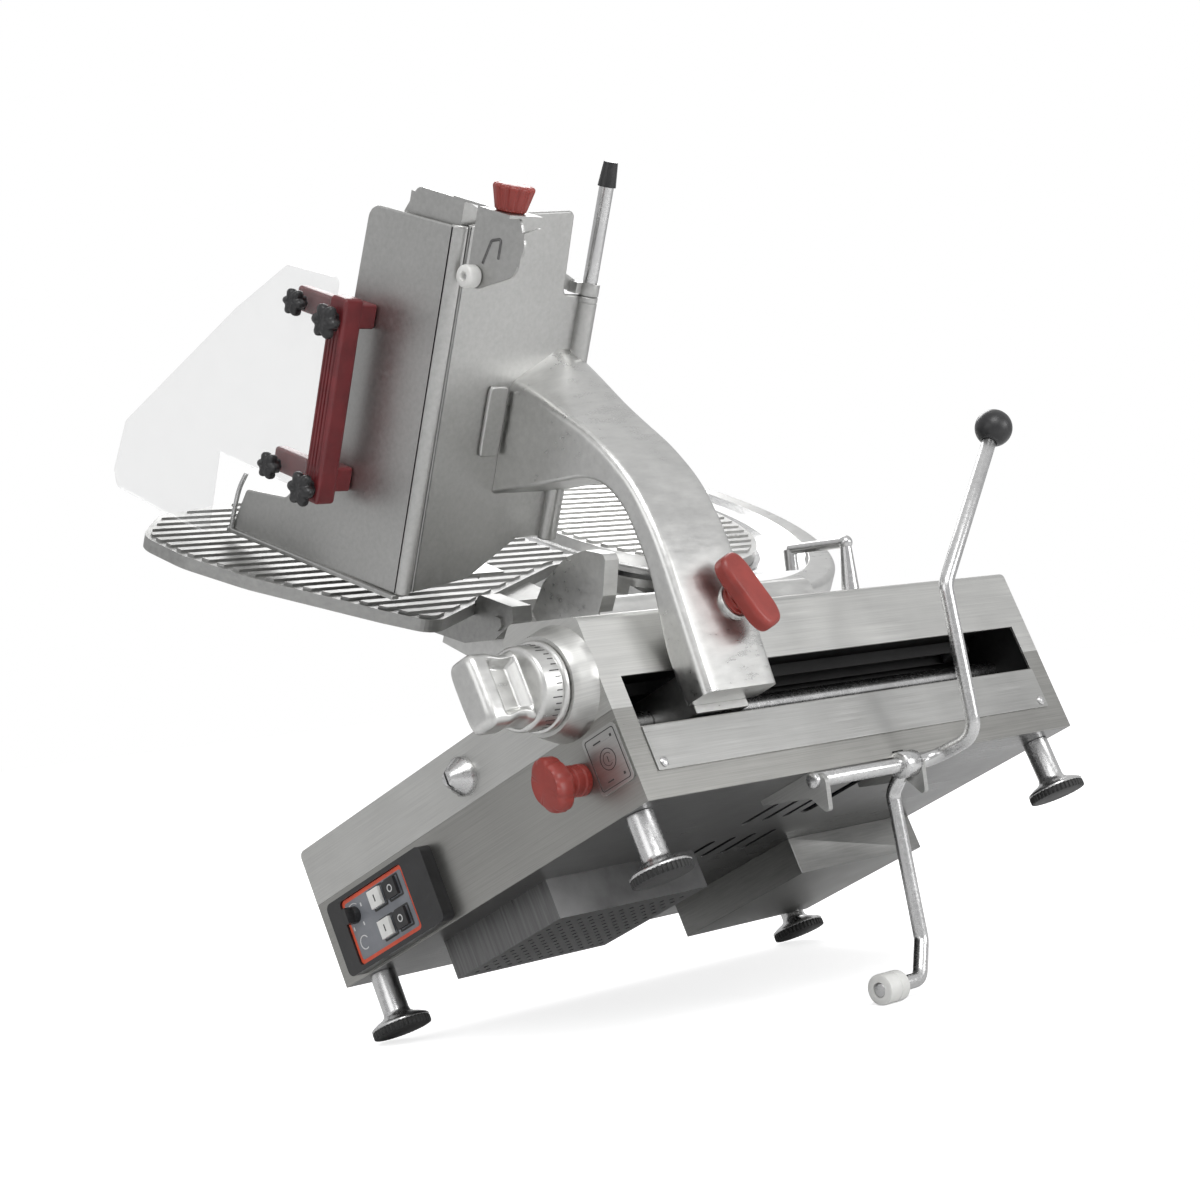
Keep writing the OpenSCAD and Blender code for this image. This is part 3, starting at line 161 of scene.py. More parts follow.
# Metal: colour and roughness follow a noise stretched along the grain, over slow cloudy stains;
# the relief is the same grain
def metal(name, low, high, rough, grain, relief=0.12, cloud=9.0, metallic=1.0):
    made, tree, shader = newFinish(name, (*high, 1.0))
    fine = noise(tree, 1.0, detail=6.0, rough=0.65, grain=grain)
    slow = noise(tree, cloud, detail=4.0)
    streaks = rampNode(tree, fine, low, high)
    stained = rampNode(tree, slow, [metalSurface["stain"]] * 3, [1.0] * 3, *metalSurface["stainSpan"])
    grainRough = spanNode(tree, fine, *rough)
    stainRough = spanNode(tree, slow, *metalSurface["stainRough"])
    bump = node(tree, "ShaderNodeBump", Strength=relief, Distance=metalSurface["reliefDeep"], Height=fine)
    feed(tree, shader, {"Base Color": mixNode(tree, 1.0, streaks, stained, "MULTIPLY"),
                        "Roughness": mathNode(tree, "ADD", grainRough, stainRough),
                        "Metallic": metallic, "Normal": bump.outputs["Normal"]})
    return made


plasticSurface = {"shadeSize": 38.0, "scuffSize": 160.0, "scuffSpan": (0.56, 0.7), "paler": 1.5,
                  "palerBy": 0.12, "reliefDeep": 0.0002}


# Moulded plastic or rubber: fine spark-eroded grain in the relief, slow shade changes and worn, paler spots
def plastic(name, low, high, rough, size=1400.0, relief=0.12, worn=0.06, coat=0.0):
    made, tree, shader = newFinish(name, (*high, 1.0))
    fine = noise(tree, size, detail=3.0)
    slow = noise(tree, plasticSurface["shadeSize"])
    scuff = noise(tree, plasticSurface["scuffSize"], detail=8.0, rough=0.7)
    mask = spanNode(tree, scuff, 0.0, worn, *plasticSurface["scuffSpan"])
    paler = [min(1.0, c * plasticSurface["paler"] + plasticSurface["palerBy"]) for c in high]
    bump = node(tree, "ShaderNodeBump", Strength=relief, Distance=plasticSurface["reliefDeep"], Height=fine)
    feed(tree, shader, {"Base Color": mixNode(tree, mask, rampNode(tree, slow, low, high), (*paler, 1.0)),
                        "Roughness": spanNode(tree, slow, *rough),
                        "Coat Weight": coat, "Normal": bump.outputs["Normal"]})
    return made


clearSurface = {"alpha": 0.13, "bend": 1.4, "low": (0.42, 0.43, 0.43), "high": (0.56, 0.57, 0.57),
                "tintSize": 60.0, "smearSize": 22.0, "smear": 0.09, "smearSpan": (0.5, 0.8),
                "shown": (0.9, 0.95, 0.95, 0.3)}


# Clear sheet: mostly seen through, with a slow grey tint and faint smears in its roughness
def clearSheet(name):
    made, tree, shader = newFinish(name, clearSurface["shown"])
    tint = noise(tree, clearSurface["tintSize"])
    smear = noise(tree, clearSurface["smearSize"], detail=6.0, rough=0.7)
    feed(tree, shader, {"Alpha": clearSurface["alpha"], "IOR": clearSurface["bend"],
                        "Base Color": rampNode(tree, tint, clearSurface["low"], clearSurface["high"]),
                        "Roughness": spanNode(tree, smear, 0.0, clearSurface["smear"],
                                              *clearSurface["smearSpan"])})
    return made


# Each finish: dark and light colour, roughness from and to, then a metal's grain, relief and stain size
look = {
    "sheet": metal("brushedSheet", (0.40, 0.40, 0.39), (0.50, 0.50, 0.49), (0.30, 0.42), (14, 14, 1400)),
    "drive": metal("driveBoxSteel", (0.22, 0.22, 0.215), (0.30, 0.30, 0.29), (0.34, 0.46), (30, 30, 600)),
    # The gauge plate's grey is the casting's own tone, darkened as painted shade for the tray's shadow on it
    "plate": metal("gaugePlateCastingPaintedShade", (0.34, 0.34, 0.335), (0.44, 0.44, 0.43), (0.42, 0.54),
                   (200, 60, 200), 0.08, 11.0),
    "cover": metal("satinCover", (0.50, 0.50, 0.49), (0.62, 0.62, 0.60), (0.34, 0.46), (14, 10, 1100)),
    # The tub's steel is darker than the cover's as painted shade on its front face, over the brushed steel's
    # own tone
    "tub": metal("tubSteelPaintedShade", (0.30, 0.30, 0.285), (0.39, 0.385, 0.37), (0.30, 0.42), (10, 10, 1300)),
    # The underside steel's dark colour is painted shade under the machine, over the steel's own tone; the
    # latch wire wears it too
    "under": metal("underSteelPaintedShade", (0.12, 0.12, 0.12), (0.20, 0.20, 0.20), (0.26, 0.38), (500, 14, 14)),
    "casting": metal("polishedCasting", (0.58, 0.58, 0.57), (0.68, 0.68, 0.665), (0.26, 0.38),
                     (160, 40, 160), 0.08, 14.0),
    "tray": metal("trayCasting", (0.44, 0.44, 0.43), (0.52, 0.52, 0.51), (0.34, 0.44), (240, 240, 240),
                  0.05, 7.0),
    "bright": metal("brightSteel", (0.56, 0.56, 0.56), (0.66, 0.66, 0.66), (0.20, 0.30), (300, 300, 300),
                    0.04, 20.0),
    "blade": metal("groundBlade", (0.55, 0.55, 0.55), (0.68, 0.68, 0.68), (0.16, 0.26), (500, 500, 40),
                   0.06),
    "motor": metal("motorPaint", (0.05, 0.09, 0.15), (0.08, 0.13, 0.21), (0.35, 0.5), (90, 90, 90),
                   0.25, 30.0, 0.2),
    "red": plastic("redPlastic", (0.20, 0.022, 0.016), (0.29, 0.034, 0.025), (0.34, 0.46),
                   coat=0.08, worn=0.04),
    "darkRed": plastic("darkRedPlastic", (0.10, 0.010, 0.013), (0.18, 0.018, 0.022), (0.34, 0.46),
                       coat=0.08, worn=0.05),
    "black": plastic("blackPlastic", (0.008, 0.008, 0.009), (0.02, 0.02, 0.021), (0.28, 0.42)),
    # Near-black for the slot liner is painted shade, a dark sheet where the inside of the slot falls into
    # shadow
    "liner": plastic("slotPaintedShadeBlack", (0.006, 0.006, 0.006), (0.016, 0.016, 0.016), (0.45, 0.6)),
    "white": plastic("whitePlastic", (0.62, 0.62, 0.60), (0.78, 0.78, 0.76), (0.3, 0.42), worn=0.02),
    "panelRed": plastic("panelRed", (0.62, 0.07, 0.03), (0.78, 0.11, 0.05), (0.4, 0.5), 900.0, 0.06),
    "film": plastic("greyFilm", (0.16, 0.17, 0.19), (0.21, 0.22, 0.24), (0.35, 0.48), 900.0, 0.08),
    "print": plastic("darkPrint", (0.02, 0.02, 0.02), (0.045, 0.045, 0.045), (0.5, 0.6)),
    "whitePrint": plastic("whitePrint", (0.5, 0.5, 0.5), (0.66, 0.66, 0.66), (0.5, 0.6)),
    "rubber": plastic("rubber", (0.012, 0.012, 0.012), (0.03, 0.03, 0.03), (0.55, 0.72), 700.0, 0.4),
    "clear": clearSheet("clearGuard"),
}
# The nodes that wear each finish
wearers = {
    "tub": ["base_tub"],
    "cover": ["top_cover"],
    # The bottom plate and vent box wear painted shade for the underside
    "under": ["bottom_plate", "vent_box", "pusher_latch"],
    "drive": ["drive_box"],
    "sheet": ["slot_strip", "selector_plate", "lever_brackets"],
    "plate": ["gauge_plate"],
    "tray": ["pusher_carrier", "pusher_plate", "product_tray"],
    "casting": ["frame_casting", "ring_guard", "blade_cover", "carriage_block", "arm", "index_knob",
                "blade_pulley", "motor_pulley", "drive_pulley", "idler_pulley"],
    "bright": ["cover_screws", "lock_cone", "release_bar", "legs", "blade_shaft", "shaft_bearings",
               "guide_rod", "slide_rod", "lever_rod"],
    "blade": ["blade"],
    "motor": ["blade_motor", "drive_motor"],
    "red": ["selector_knob", "t_knob", "pusher_knob"],
    "darkRed": ["handle"],
    "panelRed": ["panel_face"],
    "black": ["panel_bezel", "panel_switch", "blade_stop_button", "carriage_stop_button", "rod_cap",
              "lever_ball", "cable_gland", "star_knob_1", "star_knob_2", "star_knob_3", "star_knob_4"],
    # The slot liner's black is painted shade inside the slot
    "liner": ["slot_liner"],
    "white": ["blade_start_button", "carriage_start_button", "tray_roller", "floor_roller"],
    "rubber": ["foot_pads", "blade_belt", "carriage_belt"],
    "clear": ["finger_guard"],
}
wear = {name: finish for finish, names in wearers.items() for name in names}
for name, obj in nodes.items():
    for slot in obj.material_slots:
        slot.material = look[wear[name]]
    if not obj.material_slots:
        obj.data.materials.append(look[wear[name]])
print("stage: materials on every node")

# Soft broken edges, in mm, on the sheet, cast and moulded nodes that stay
edges = {"base_tub": 0.9, "top_cover": 1.2, "gauge_plate": 0.8, "slot_strip": 0.35, "panel_bezel": 2.0,
         "selector_plate": 0.4, "pusher_carrier": 0.8, "drive_box": 1.0, "lever_brackets": 0.8,
         "finger_guard": 0.8, "blade_stop_button": 0.6, "carriage_stop_button": 0.6,
         "blade_start_button": 0.6, "carriage_start_button": 0.6, "panel_switch": 0.7, "carriage_block": 1.0,
         "frame_casting": 1.0, "ring_guard": 0.8, "lock_cone": 0.4, "bottom_plate": 0.4}
edgeMaking = {"weld": 0.00001, "segments": 3, "angle": 40}
for name, width in edges.items():
    weld = nodes[name].modifiers.new("weld", "WELD")
    weld.merge_threshold = edgeMaking["weld"]  # joins the loose triangles, so that edges can be broken
    bevel = nodes[name].modifiers.new("edge", "BEVEL")
    bevel.width = width / 1000
    bevel.segments = edgeMaking["segments"]
    bevel.limit_method = "ANGLE"
    bevel.angle_limit = math.radians(edgeMaking["angle"])
    bevel.harden_normals = True
    bevel.use_clamp_overlap = True


# Stage two: shapes, each a pair of its points and its faces

meshMaking = {"merge": 2e-6, "sliver": 1e-7}  # metres within which points and thin faces are joined


# One finished piece: merged seams, faces outward, smooth below an angle, on its body
def piece(name, shape, placed, finish, body, replaced=(), angle=40):
    mesh = bpy.data.meshes.new(name)
    mesh.from_pydata(placed(shape[0]).tolist(), [], shape[1])
    work = bmesh.new()
    work.from_mesh(mesh)
    bmesh.ops.remove_doubles(work, verts=work.verts, dist=meshMaking["merge"])
    bmesh.ops.dissolve_degenerate(work, edges=work.edges, dist=meshMaking["sliver"])
    bmesh.ops.recalc_face_normals(work, faces=work.faces)
    work.to_mesh(mesh)
    work.free()
    mesh.shade_smooth()
    mesh.set_sharp_from_angle(angle=math.radians(angle))
    obj = bpy.data.objects.new(name, mesh)
    bpy.context.scene.collection.objects.link(obj)
    mesh.materials.append(look[finish])
    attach(obj, body)
    if replaced:
        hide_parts(*replaced)
    return obj


# Quads of a grid of rows by columns of points, closed round its columns, and round its rows if asked
def gridFaces(rows, cols, wrapRows=False):
    r = np.arange(rows if wrapRows else rows - 1)[:, None]
    c = np.arange(cols)[None, :]
    up = (r + 1) % rows
    quads = [r * cols + c, r * cols + (c + 1) % cols, up * cols + (c + 1) % cols, up * cols + c]
    return np.stack(quads, -1).reshape(-1, 4).tolist()


# Rings of equally many points, each joined to the next, with a flat cap at both ends
def capped(rings):
    rows, cols = len(rings), len(rings[0])
    caps = [list(range(cols))[::-1], list(range(cols * (rows - 1), cols * rows))]
    return np.concatenate(rings), gridFaces(rows, cols) + caps


# Several shapes made one
def joined(*shapes):
    faces = []
    count = 0
    for points, own in shapes:
        faces += [[i + count for i in face] for face in own]
        count += len(points)
    return np.concatenate([points for points, own in shapes]), faces


# A shape with its axes taken in another order, then moved
def laid(shape, order, by=(0, 0, 0)):
    return shape[0][:, list(order)] + np.array(by, float), shape[1]


# A shape moved
def moved(shape, by):
    return laid(shape, (0, 1, 2), by)


# Vectors divided by their lengths
def unit(v):
    return v / (np.linalg.norm(v, axis=-1, keepdims=True) + 1e-12)


# From 0 to 1 with level ends: v v (3 - 2 v)
def eased(v):
    return v * v * (3 - 2 * v)


# 1 between two limits, rising over one length and falling over another, else 0
def window(value, start, rise, stop, fall):
    return np.clip((value - start) / rise, 0, 1) * np.clip((stop - value) / fall, 0, 1)


# Distance from the third axis, and angle round it
def polar(points):
    return np.hypot(points[:, 0], points[:, 1]), np.arctan2(points[:, 1], points[:, 0])


# The arc that rounds the corner at q between p and r: from u to v about its centre, by
# (sin((1 - t) whole) u + sin(t whole) v) / sin(whole)
def cornerArc(p, q, r, radius, steps):
    a, b = unit(p - q), unit(r - q)
    half = math.acos(max(-1, min(1, a @ b))) / 2
    centre = q + unit(a + b) * radius / math.sin(half)
    u = q + a * radius / math.tan(half) - centre
    v = q + b * radius / math.tan(half) - centre
    whole = math.pi - 2 * half
    t = np.linspace(0, 1, steps + 1)[:, None]
    return centre + (np.sin((1 - t) * whole) * u + np.sin(t * whole) * v) / math.sin(whole)


# Points of a polygon whose corners are arcs: rows of (x, y, radius)
def rounded(rows, steps=8):
    corners = [np.array(row[:2], float) for row in rows]
    out = []
    for i, row in enumerate(rows):
        after = corners[(i + 1) % len(rows)]
        if row[2] > 0:
            out.append(cornerArc(corners[i - 1], corners[i], after, row[2], steps))
        else:
            out.append(corners[i][None])
    return np.concatenate(out)


# Points of a rectangle between two corners, its own corners round
def roundBox(x0, y0, x1, y1, radius, steps):
    return rounded([(x0, y0, radius), (x1, y0, radius), (x1, y1, radius), (x0, y1, radius)], steps)


# The same round a middle point
def middleBox(x, y, width, height, radius, steps):
    return roundBox(x - width / 2, y - height / 2, x + width / 2, y + height / 2, radius, steps)


# Points of a bent line: each inner corner becomes an arc of that radius
def bentPath(points, radius, steps=10):
    p = [np.asarray(point, float) for point in points]
    arcs = [cornerArc(*three, radius, steps) for three in zip(p, p[1:], p[2:])]
    return np.concatenate([p[0][None], *arcs, p[-1][None]])


# Points of |x/a|^power + |y/b|^power = 1, for the half widths a and b
def softRing(a, b, power, steps):
    t = np.linspace(0, 2 * math.pi, steps, endpoint=False)
    c, s = np.cos(t), np.sin(t)
    return np.stack([a * np.sign(c) * np.abs(c) ** (2 / power),
                     b * np.sign(s) * np.abs(s) ** (2 / power)], 1)


# A closed outline cut finer: parts(j, length) equal runs between point j and the next
def divided(points, parts):
    out = []
    for j, (a, b) in enumerate(zip(points, np.roll(points, -1, 0))):
        count = parts(j, np.linalg.norm(b - a))
        out.append(a + (b - a) * (np.arange(count) / count)[:, None])
    return np.concatenate(out)


# The outline's points moved inward along the mean of their two edges' normals
def drawnIn(points, by):
    after, before = np.roll(points, -1, 0), np.roll(points, 1, 0)
    area = np.sum(points[:, 0] * after[:, 1] - after[:, 0] * points[:, 1])
    side = 1.0 if area > 0 else -1.0
    a, b = unit(points - before), unit(after - points)
    normalA = side * np.stack([-a[:, 1], a[:, 0]], 1)
    normalB = side * np.stack([-b[:, 1], b[:, 0]], 1)
    mean = unit(normalA + normalB)
    return points + mean * by / np.clip(np.sum(mean * normalA, 1, keepdims=True), 0.5, 1.0)


# Levels and insets of round ends: edge (1 - cos a) in from each end, drawn in by edge (1 - sin a)
def softEnds(low, high, edge, rows):
    a = np.linspace(0, math.pi / 2, rows)
    step, inset = edge * (1 - np.cos(a)), edge * (1 - np.sin(a))
    return np.concatenate([low + step, high - step[::-1]]), np.concatenate([inset, inset[::-1]])


# An outline carried from near to far, its edges round
def slab(points, near, far, edge=1.5, steps=5):
    return capped([np.column_stack([drawnIn(points, inset), np.full(len(points), level)])
                   for level, inset in zip(*softEnds(near, far, edge, steps + 1))])


# A turned shape from (radius, height) pairs; lobes swell the radius by depth cos(lobes angle)
def turned(profile, steps=64, lobes=0, depth=0.0, closed=False):
    profile = np.asarray(profile, float)
    t = np.linspace(0, 2 * math.pi, steps, endpoint=False)
    swell = 1 + depth * np.cos(lobes * t)
    x = profile[:, :1] * np.cos(t) * swell
    y = profile[:, :1] * np.sin(t) * swell
    z = np.repeat(profile[:, 1:], steps, 1)
    return np.stack([x, y, z], -1).reshape(-1, 3), gridFaces(len(profile), steps, closed)


# A tube along a path: rings carried by the least turning from one to the next. Each end has rings
# at shares a of its round length, of radius (1 - endRound (1 - a)^2), the first almost closed
def tube(path, radius, sides=24, endRound=0.4, closing=0.02):
    path = np.asarray(path, float)
    way = unit(np.gradient(path, axis=0))
    side = np.cross(way[0], [0.0, 0.0, 1.0])
    if np.linalg.norm(side) < 0.1:
        side = np.cross(way[0], [0.0, 1.0, 0.0])
    t = np.linspace(0, 2 * math.pi, sides, endpoint=False)[:, None]
    rings = []
    for i, (p, w) in enumerate(zip(path, way)):
        side = unit(side - w * (side @ w))
        ring = (np.cos(t) * side + np.sin(t) * np.cross(w, side)) * radius
        if i not in (0, len(path) - 1):
            rings.append(p + ring)
            continue
        inward = 1 if i == 0 else -1
        for a in (0.0, 0.35, 0.7, 1.0)[::inward]:
            narrow = closing if a == 0 else 1 - endRound * (1 - a) ** 2
            rings.append(p + ring * narrow + w * inward * radius * endRound * a / 2)
    return capped(rings)


# A soft box: a soft ring carried from low to high, drawn in towards both ends over the edge's length
def pillow(width, height, low, high, edge, power, steps, rows):
    return capped([np.column_stack([softRing(width / 2 - inset, height / 2 - inset, power, steps),
                                    np.full(steps, level)])
                   for level, inset in zip(*softEnds(low, high, edge, rows))])


# Cast arm: cross-sections between an inner and an outer curve of (x, z), the last one on the tray;
# its far outer edge leans out by the flare's (share of the depth, mm)
armShape = {"outer": [(431.6, 66.3), (434.5, 95), (437.4, 124), (440.4, 154), (442.4, 180), (442.6, 205),
                      (438.6, 240), (428.5, 272), (413, 303), (396, 329), (380, 352), (361.4, 374.2)],
            "inner": [(404.3, 66.3), (404.3, 88), (406, 110), (413, 140), (419.6, 170), (421.4, 200),
                      (420.2, 228), (412, 250), (397, 266), (372, 277), (338, 290), (296, 306.2)],
            "near": 71.3, "far": 152.7, "edge": 7.0, "edgeShare": 0.3, "innerEdge": 0.6, "stations": 80,
            "arcSteps": 8, "sideParts": 10, "leanFrom": 0.72, "leanPower": 1.6,
            "flare": [(0, -3), (0.3, 12), (0.61, 27), (0.82, 24), (1, 16)]}


# Evenly spaced points on a smooth line through points, by cubic pieces over the summed lengths
def smoothLine(points, count):
    p = np.asarray(points, float)
    d = np.concatenate([[0], np.cumsum(np.linalg.norm(np.diff(p, axis=0), axis=1))])
    m = np.gradient(p, d, axis=0)
    t = np.linspace(0, d[-1], count)
    i = np.clip(np.searchsorted(d, t, side="right") - 1, 0, len(d) - 2)
    h = (d[i + 1] - d[i])[:, None]
    u = ((t - d[i])[:, None]) / h
    return ((2 * u ** 3 - 3 * u ** 2 + 1) * p[i] + (u ** 3 - 2 * u ** 2 + u) * h * m[i]
            + (3 * u ** 2 - 2 * u ** 3) * p[i + 1] + (u ** 3 - u ** 2) * h * m[i + 1])


# Ring k is a rounded rectangle from the inner to the outer curve, Y from near to far, its straight
# sides in parts; past leanFrom it rises along the tray by flare lean^power share^2, with lean along
# the arm and share from inner to outer
def castArm(shape):
    count = shape["stations"]
    outer = smoothLine(shape["outer"], count)
    inner = smoothLine(shape["inner"], count)
    depth = shape["far"] - shape["near"]
    slant = math.radians(place["traySlant"])
    up = np.array([math.sin(slant), math.cos(slant)])
    across, rise = np.array(shape["flare"], float).T
    steps, start = shape["arcSteps"], shape["leanFrom"]

    # Several runs on each straight side, one between an arc's points
    def parts(j, run):
        return shape["sideParts"] if j % (steps + 1) == steps else 1

    rings = []
    for k in range(count):
        span = np.linalg.norm(outer[k] - inner[k])
        edge = min(shape["edge"], span * shape["edgeShare"])
        small = edge * shape["innerEdge"]
        cross = rounded([(0, 0, small), (span, 0, edge), (span, depth, edge), (0, depth, small)], steps)
        cross = divided(cross, parts)
        share = cross[:, :1] / span
        lean = max(0.0, (k / (count - 1) - start) / (1 - start)) ** shape["leanPower"]
        flare = np.interp(cross[:, 1] / depth, across, rise)[:, None] * lean * share ** 2
        flat = inner[k] + share * (outer[k] - inner[k]) + flare * up
        rings.append(np.column_stack([flat[:, 0], shape["near"] + cross[:, 1], flat[:, 1]]))
    return capped(rings)


piece("castArm", castArm(armShape), machine, "casting", "carriage", ["arm"], 50)
boss = {"at": (433.0, 130.0, 134.0), "profile": [(0, 0), (15, 0), (15, 7), (14.3, 8.4), (12.8, 9), (5.4, 9),
                                                 (5.2, 8), (5.2, 0.5), (0, 0.5)]}
piece("armBoss", turned(boss["profile"]), alongX(boss["at"]), "casting", "carriage")
print("stage: arm")

# Product tray: floor and front wall with the soft corner between them, foot strip, rod sleeve, back pad.
# Floor rows are (y, n, radius), wall and strip rows (q, n, radius); the pad has a width, height,
# thickness, edge and power
trayShape = {"edge": 1.9, "thick": 4.0, "wallBack": -5.0,
             "floor": [(2, 346, 0.5), (20, 348, 30), (60, 354, 20), (108, 386, 4), (144, 386, 4),
                       (144, 591, 2), (115, 591, 4), (112, 659, 6), (58, 655, 20), (2, 642.5, 0.5)],
             "wall": [(-226, 331, 2.5), (-7, 343, 0.5), (-7, 641, 0.5), (-108, 638, 12), (-111, 560, 30),
                      (-118, 423, 8), (-160, 380, 7), (-212, 372, 5)],
             "strip": [(-226, 331, 1.2), (-6, 339, 1.2), (-6, 343, 1.2), (-226, 335, 1.2)],
             "stripOut": -13.0, "stripEdge": 1.2, "pad": (20, 58, 3.9, 1.6, 9.0), "padAt": (0, 58, 487),
             "sleeveAt": (1.0, 141.0, 0), "sleeve": [(6.05, 385), (7.3, 385), (8.5, 386.2), (8.5, 585),
                                                     (8, 585.4), (8, 586), (8.5, 586.4), (8.5, 589.8),
                                                     (7.3, 591), (6.05, 591)]}
cornerShape = {"at": (-9.0, 0.0), "outer": 9.0, "inner": 5.0, "steps": 12, "soft": 0.9 / 2.2,
               "low": 343.4, "high": 641.6, "ends": [(0, 1), (0.6, 1 / 3), (2, 0)]}


# The corner between wall and floor: a quarter ring about (q, y) carried from n low to n high, each
# end drawn towards the ring's middle by soft times the share given for each distance from the end
def softCorner(shape):
    a = np.linspace(-math.pi / 2, 0, shape["steps"])
    way = np.stack([np.cos(a), np.sin(a)], 1)
    way = np.concatenate([way, way[::-1]])
    radius = np.repeat([shape["outer"], shape["inner"]], shape["steps"])[:, None]
    ring = np.array(shape["at"]) + way * radius
    middle = np.array(shape["at"]) + way * (shape["outer"] + shape["inner"]) / 2
    ends = [(shape["low"] + run, share) for run, share in shape["ends"]]
    ends += [(shape["high"] - run, share) for run, share in shape["ends"][::-1]]
    return capped([np.column_stack([ring + (middle - ring) * shape["soft"] * share, np.full(len(ring), n)])
                   for n, share in ends])


wallBack = trayShape["wallBack"]
floorPart = slab(rounded(trayShape["floor"]), -trayShape["thick"], 0.0, trayShape["edge"])
wallPart = slab(rounded(trayShape["wall"]), wallBack - trayShape["thick"], wallBack, trayShape["edge"])
stripPart = slab(rounded(trayShape["strip"], 4), trayShape["stripOut"], wallBack, trayShape["stripEdge"])
sleevePart = turned(trayShape["sleeve"], 48, closed=True)
padWidth, padHeight, padThick, padEdge, padPower = trayShape["pad"]
padPart = pillow(padWidth, padHeight, 0, padThick, padEdge, padPower, 64, 5)
trayPart = joined(laid(floorPart, (2, 0, 1)), laid(wallPart, (0, 2, 1)), softCorner(cornerShape),
                  laid(stripPart, (0, 2, 1)), moved(sleevePart, trayShape["sleeveAt"]),
                  laid(padPart, (2, 0, 1), trayShape["padAt"]))
trayPiece = piece("productTray", trayPart, tray, "tray", "carriage", ["product_tray"], 38)
trayPiece.modifiers.new("shading", "WEIGHTED_NORMAL").keep_sharp = True
pinShape = {"path": [(-222, -11, 333), (-221, -11, 352), (-218, -11, 372), (-212, -11, 386)], "radius": 2.0}
pin = tube(smoothLine(pinShape["path"], 30), pinShape["radius"], 16)
piece("trayPin", pin, tray, "bright", "carriage")
print("stage: tray")

# Handle: a grooved bar on two arms, and two clips that hold the guard; its stations are
# (mm from the low end, mm drawn in, share of the groove's depth)
handleShape = {"left": -98.0, "width": 20.0, "low": 398.0, "middle": -34.0, "depth": 20.0, "corner": (3, 4),
               "grooves": 4, "grooveDeep": 1.7, "grooveWide": 0.42, "grooveEdge": 2.5, "groovePower": 0.6,
               "backShare": 0.5, "faceDeep": 0.5, "fine": 0.35,
               "stations": [(0, 2.7, 0), (0.5, 1.35, 0), (1.4, 0.45, 0), (3, 0, 0), (20, 0, 0), (24, 0, 0.4),
                            (30, 0, 1), (84, 0, 1), (138, 0, 1), (144, 0, 0.4), (148, 0, 0), (165, 0, 0),
                            (166.6, 0.45, 0), (167.5, 1.35, 0), (168, 2.7, 0)],
               "armsAt": (408.0, 542.0), "armHigh": 20.0, "arm": ((-97.5, -36), (-78.8, -9.2), 3.0),
               "clip": ((-150, -35.8), (-96, -22.2), 3.5)}


# The bar: a rounded square whose front and back faces are cut by grooves, each deep cos^power across it
def gripBar(shape):
    wide, depth, edge = shape["width"], shape["depth"], shape["grooveEdge"]
    frontCorner, backCorner = shape["corner"]

    # Runs of about the fine length
    def parts(j, run):
        return max(1, int(run / shape["fine"]))

    section = rounded([(0, 0, frontCorner), (wide, 0, frontCorner), (wide, depth, backCorner),
                       (0, depth, backCorner)], 6)
    section = divided(section, parts)
    x, y = section.T
    phase = ((x - edge) * shape["grooves"] / (wide - 2 * edge)) % 1 - 0.5
    groove = np.clip(np.cos(math.pi * phase / shape["grooveWide"]), 0, 1) ** shape["groovePower"]
    groove *= (x > edge) & (x < wide - edge) & (np.abs(phase) < shape["grooveWide"] / 2)
    groove *= shape["grooveDeep"]
    front, back = y < shape["faceDeep"], y > depth - shape["faceDeep"]
    side = np.where(front, 1.0, np.where(back, -shape["backShare"], 0.0))
    corner = np.array([shape["left"], shape["middle"] - depth / 2])
    rings = []
    for level, inset, share in shape["stations"]:
        ring = drawnIn(section, inset) + np.stack([np.zeros(len(section)), groove * side * share], 1)
        rings.append(np.column_stack([corner + ring, np.full(len(ring), shape["low"] + level)]))
    return capped(rings)


# A rounded block from one (q, y) corner to the other, from n low to n high, a little sharper at its ends
def softBlock(corner, other, edge, low, high, endShare=0.8):
    return slab(roundBox(*corner, *other, edge, 5), low, high, edge * endShare)


gripParts = [gripBar(handleShape)]
for n in handleShape["armsAt"]:
    for kind in ("arm", "clip"):
        gripParts.append(softBlock(*handleShape[kind], n, n + handleShape["armHigh"]))
piece("handleGrip", joined(*gripParts), tray, "darkRed", "carriage", ["handle"])

# Star knobs: six lobes with a domed face on a round hub; profile in shares of radius and height
starShape = {"lobes": 6, "depth": 0.13, "height": 13.8, "hub": 0.62, "blend": 0.3,
             "profile": [(0, 0), (0.6, 0), (0.62, 0.3), (0.8, 0.36), (0.95, 0.42), (1, 0.55), (1, 0.74),
                         (0.96, 0.84), (0.88, 0.92), (0.7, 0.98), (0.4, 1), (0.36, 0.97), (0, 0.97)]}
starPlaces = [(-134, -41, 551, 23), (-89, -44, 546, 29), (-137, -41, 415, 23), (-89, -44, 409, 29)]


# The lobed shape, whose points come in to min(r, hub) cos and sin as r falls over the blend
def starKnob(shape, dia):
    r = dia / 2 / (1 + shape["depth"])
    profile = np.array(shape["profile"]) * (r, shape["height"])
    points, faces = turned(profile, 120, shape["lobes"], shape["depth"])
    radius = np.hypot(points[:, 0], points[:, 1])[:, None]
    pull = np.clip((radius - r * shape["hub"]) / (r * shape["blend"]), 0, 1)
    hub = points[:, :2] / np.maximum(radius, 1e-9) * np.minimum(radius, r * shape["hub"])
    points[:, :2] = hub * (1 - pull) + points[:, :2] * pull
    return points, faces


for i, (q, y, n, dia) in enumerate(starPlaces, 1):
    body = "star_knob_%d" % i
    piece("starKnob%d" % i, starKnob(starShape, dia), facing((q, y, n), tray), "black", body,
          [body], 50)
print("stage: handle and knobs")

